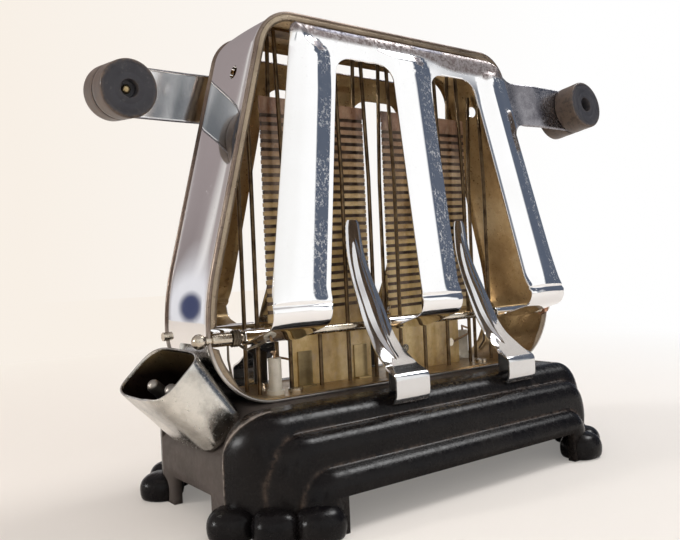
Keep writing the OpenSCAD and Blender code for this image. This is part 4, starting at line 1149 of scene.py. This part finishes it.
def stage_material():
    """Pale floor that keeps the shadow near the object and passes into the backdrop's colour farther off."""
    material, shader = new_material("stage_pale")
    graph = Graph(material)
    shade = graph.fit(graph.noise(1.5, 2, 0.5), 0.3, 0.7, 0, 0.3)
    color = graph.mix(shade, graph.across(graph.place, -0.3, 0.3, (0.72, 0.65, 0.58), (0.80, 0.77, 0.73)), (0.80, 0.74, 0.68))
    graph.links.new(color, shader.inputs["Base Color"])
    shader.inputs["Roughness"].default_value = 0.75
    out = [n for n in graph.nodes if n.type == "OUTPUT_MATERIAL"][0]
    glow = graph.add("ShaderNodeEmission")
    graph.links.new(graph.across(graph.place, -0.35, 0.45, WALL_LEFT, WALL_RIGHT), glow.inputs["Color"])
    away = graph.add("ShaderNodeVectorMath", operation="LENGTH")
    graph.links.new(graph.place, away.inputs[0])
    path = graph.add("ShaderNodeLightPath")
    share = graph.product(graph.fit(away.outputs["Value"], 0.20, 0.75, 0.2, 1), path.outputs["Is Camera Ray"])
    blend = graph.add("ShaderNodeMixShader")
    graph.links.new(share, blend.inputs["Fac"])
    graph.links.new(shader.outputs["BSDF"], blend.inputs[1])
    graph.links.new(glow.outputs["Emission"], blend.inputs[2])
    graph.links.new(blend.outputs["Shader"], out.inputs["Surface"])
    return material


def make_floor():
    mesh = bpy.data.meshes.new("floor")
    h = FLOOR_HALF
    mesh.from_pydata([(-h, -h, 0), (h, -h, 0), (h, h, 0), (-h, h, 0)], [], [(0, 1, 2, 3)])
    floor = bpy.data.objects.new("floor", mesh)
    bpy.context.scene.collection.objects.link(floor)
    mesh.materials.append(stage_material())


# The room by compass direction: (degrees, colour). The object mirrors it.
ROOM = ((-180, (0.80, 0.75, 0.68)), (-160, (0.80, 0.75, 0.69)), (-152, (0.36, 0.34, 0.33)), (-143, (0.40, 0.38, 0.37)),
        (-138, (1.08, 1.08, 1.08)), (-115, (1.05, 1.05, 1.05)), (-111, (0.13, 0.145, 0.165)),
        (-102, (0.13, 0.145, 0.165)), (-98, (1.1, 1.1, 1.1)), (-42, (1.1, 1.1, 1.1)), (-38, (0.10, 0.12, 0.165)), (34, (0.13, 0.15, 0.19)),
        (44, (0.95, 0.94, 0.93)), (98, (0.95, 0.93, 0.90)), (105, (0.30, 0.26, 0.26)), (110, (0.24, 0.205, 0.205)),
        (113, (0.36, 0.32, 0.32)), (115, (1.0, 0.97, 0.95)), (117, (0.42, 0.37, 0.36)), (124, (0.50, 0.45, 0.46)), (134, (0.76, 0.70, 0.66)), (180, (0.80, 0.75, 0.68)))
HIGH = ((-180, (0.80, 0.75, 0.68)), (-150, (0.95, 0.94, 0.92)), (-42, (1.1, 1.1, 1.1)), (-38, (0.10, 0.12, 0.165)),
        (34, (0.13, 0.15, 0.19)), (44, (0.16, 0.15, 0.165)), (60, (0.30, 0.26, 0.26)), (113, (0.34, 0.29, 0.29)),
        (115, (0.8, 0.77, 0.75)), (117, (0.38, 0.33, 0.32)), (126, (0.38, 0.33, 0.32)),
        (150, (0.80, 0.75, 0.68)), (180, (0.80, 0.75, 0.68)))
SOFTBOX = (0.594, -0.152, 0.790)
DOORWAY = (-0.437, 0.898, 0.050)
WINDOW = (-0.906, 0.306, 0.292)


def make_world():
    world = bpy.data.worlds.new("world")
    bpy.context.scene.world = world
    world.use_nodes = True
    world.node_tree.nodes.clear()
    graph = Graph(world)
    direction = graph.add("ShaderNodeTexCoord").outputs["Generated"]

    def near(place):
        toward = graph.add("ShaderNodeVectorMath", operation="DOT_PRODUCT")
        graph.links.new(direction, toward.inputs[0])
        toward.inputs[1].default_value = place
        return toward.outputs["Value"]

    parts = graph.add("ShaderNodeSeparateXYZ")
    graph.links.new(direction, parts.inputs["Vector"])
    compass = graph.add("ShaderNodeMath", operation="ARCTAN2")
    graph.links.new(parts.outputs["Y"], compass.inputs[0])
    graph.links.new(parts.outputs["X"], compass.inputs[1])
    around = graph.fit(compass.outputs["Value"], -math.pi, math.pi, 0, 1)
    walls = [graph.ramp(around, [((a + 180) / 360, color) for a, color in row]) for row in (ROOM, HIGH)]
    walls = graph.mix(graph.fit(parts.outputs["Z"], 0.16, 0.36, 0, 1), *walls)
    room = graph.mix(graph.fit(parts.outputs["Z"], 0.64, 0.76, 0, 1), walls, (0.55, 0.52, 0.52))
    room = graph.mix(graph.fit(near(SOFTBOX), 0.977, 0.994, 0, 1), room, (17.0, 17.0, 17.0))
    spot = near(DOORWAY)
    room = graph.mix(graph.fit(spot, 0.975, 0.992, 0, 1), room, (0.80, 0.79, 0.82))
    room = graph.mix(graph.fit(spot, 0.9965, 0.9987, 0, 1), room, (0.06, 0.07, 0.14))
    room = graph.mix(graph.fit(near(WINDOW), 0.9965, 0.9985, 0, 1), room, (90.0, 90.0, 90.0))
    path = graph.add("ShaderNodeLightPath")
    seen = graph.mix(path.outputs["Is Camera Ray"], room, graph.across(direction, -0.4, 0.3, WALL_LEFT, WALL_RIGHT))
    back = graph.add("ShaderNodeBackground")
    graph.links.new(seen, back.inputs["Color"])
    back.inputs["Strength"].default_value = 1.0
    out = graph.add("ShaderNodeOutputWorld")
    graph.links.new(back.outputs["Background"], out.inputs["Surface"])


def make_lamp(name, at, toward, size, power):
    data = bpy.data.lights.new(name, "AREA")
    data.shape = "RECTANGLE"
    data.size, data.size_y = size
    data.energy = power
    lamp = bpy.data.objects.new(name, data)
    bpy.context.scene.collection.objects.link(lamp)
    lamp.location = at
    lamp.rotation_euler = (Vector(toward) - Vector(at)).to_track_quat("-Z", "Y").to_euler()
    lamp.visible_glossy = False


make_floor()
make_world()
make_lamp("top", (-0.1, -0.1, 1.3), (0, 0, 0.05), (1.4, 1.4), 3.5)
make_lamp("fill", (-0.9, -0.7, 0.5), (0, 0, 0.1), (0.8, 0.8), 0.6)

bpy.context.scene.view_settings.view_transform = "Standard"
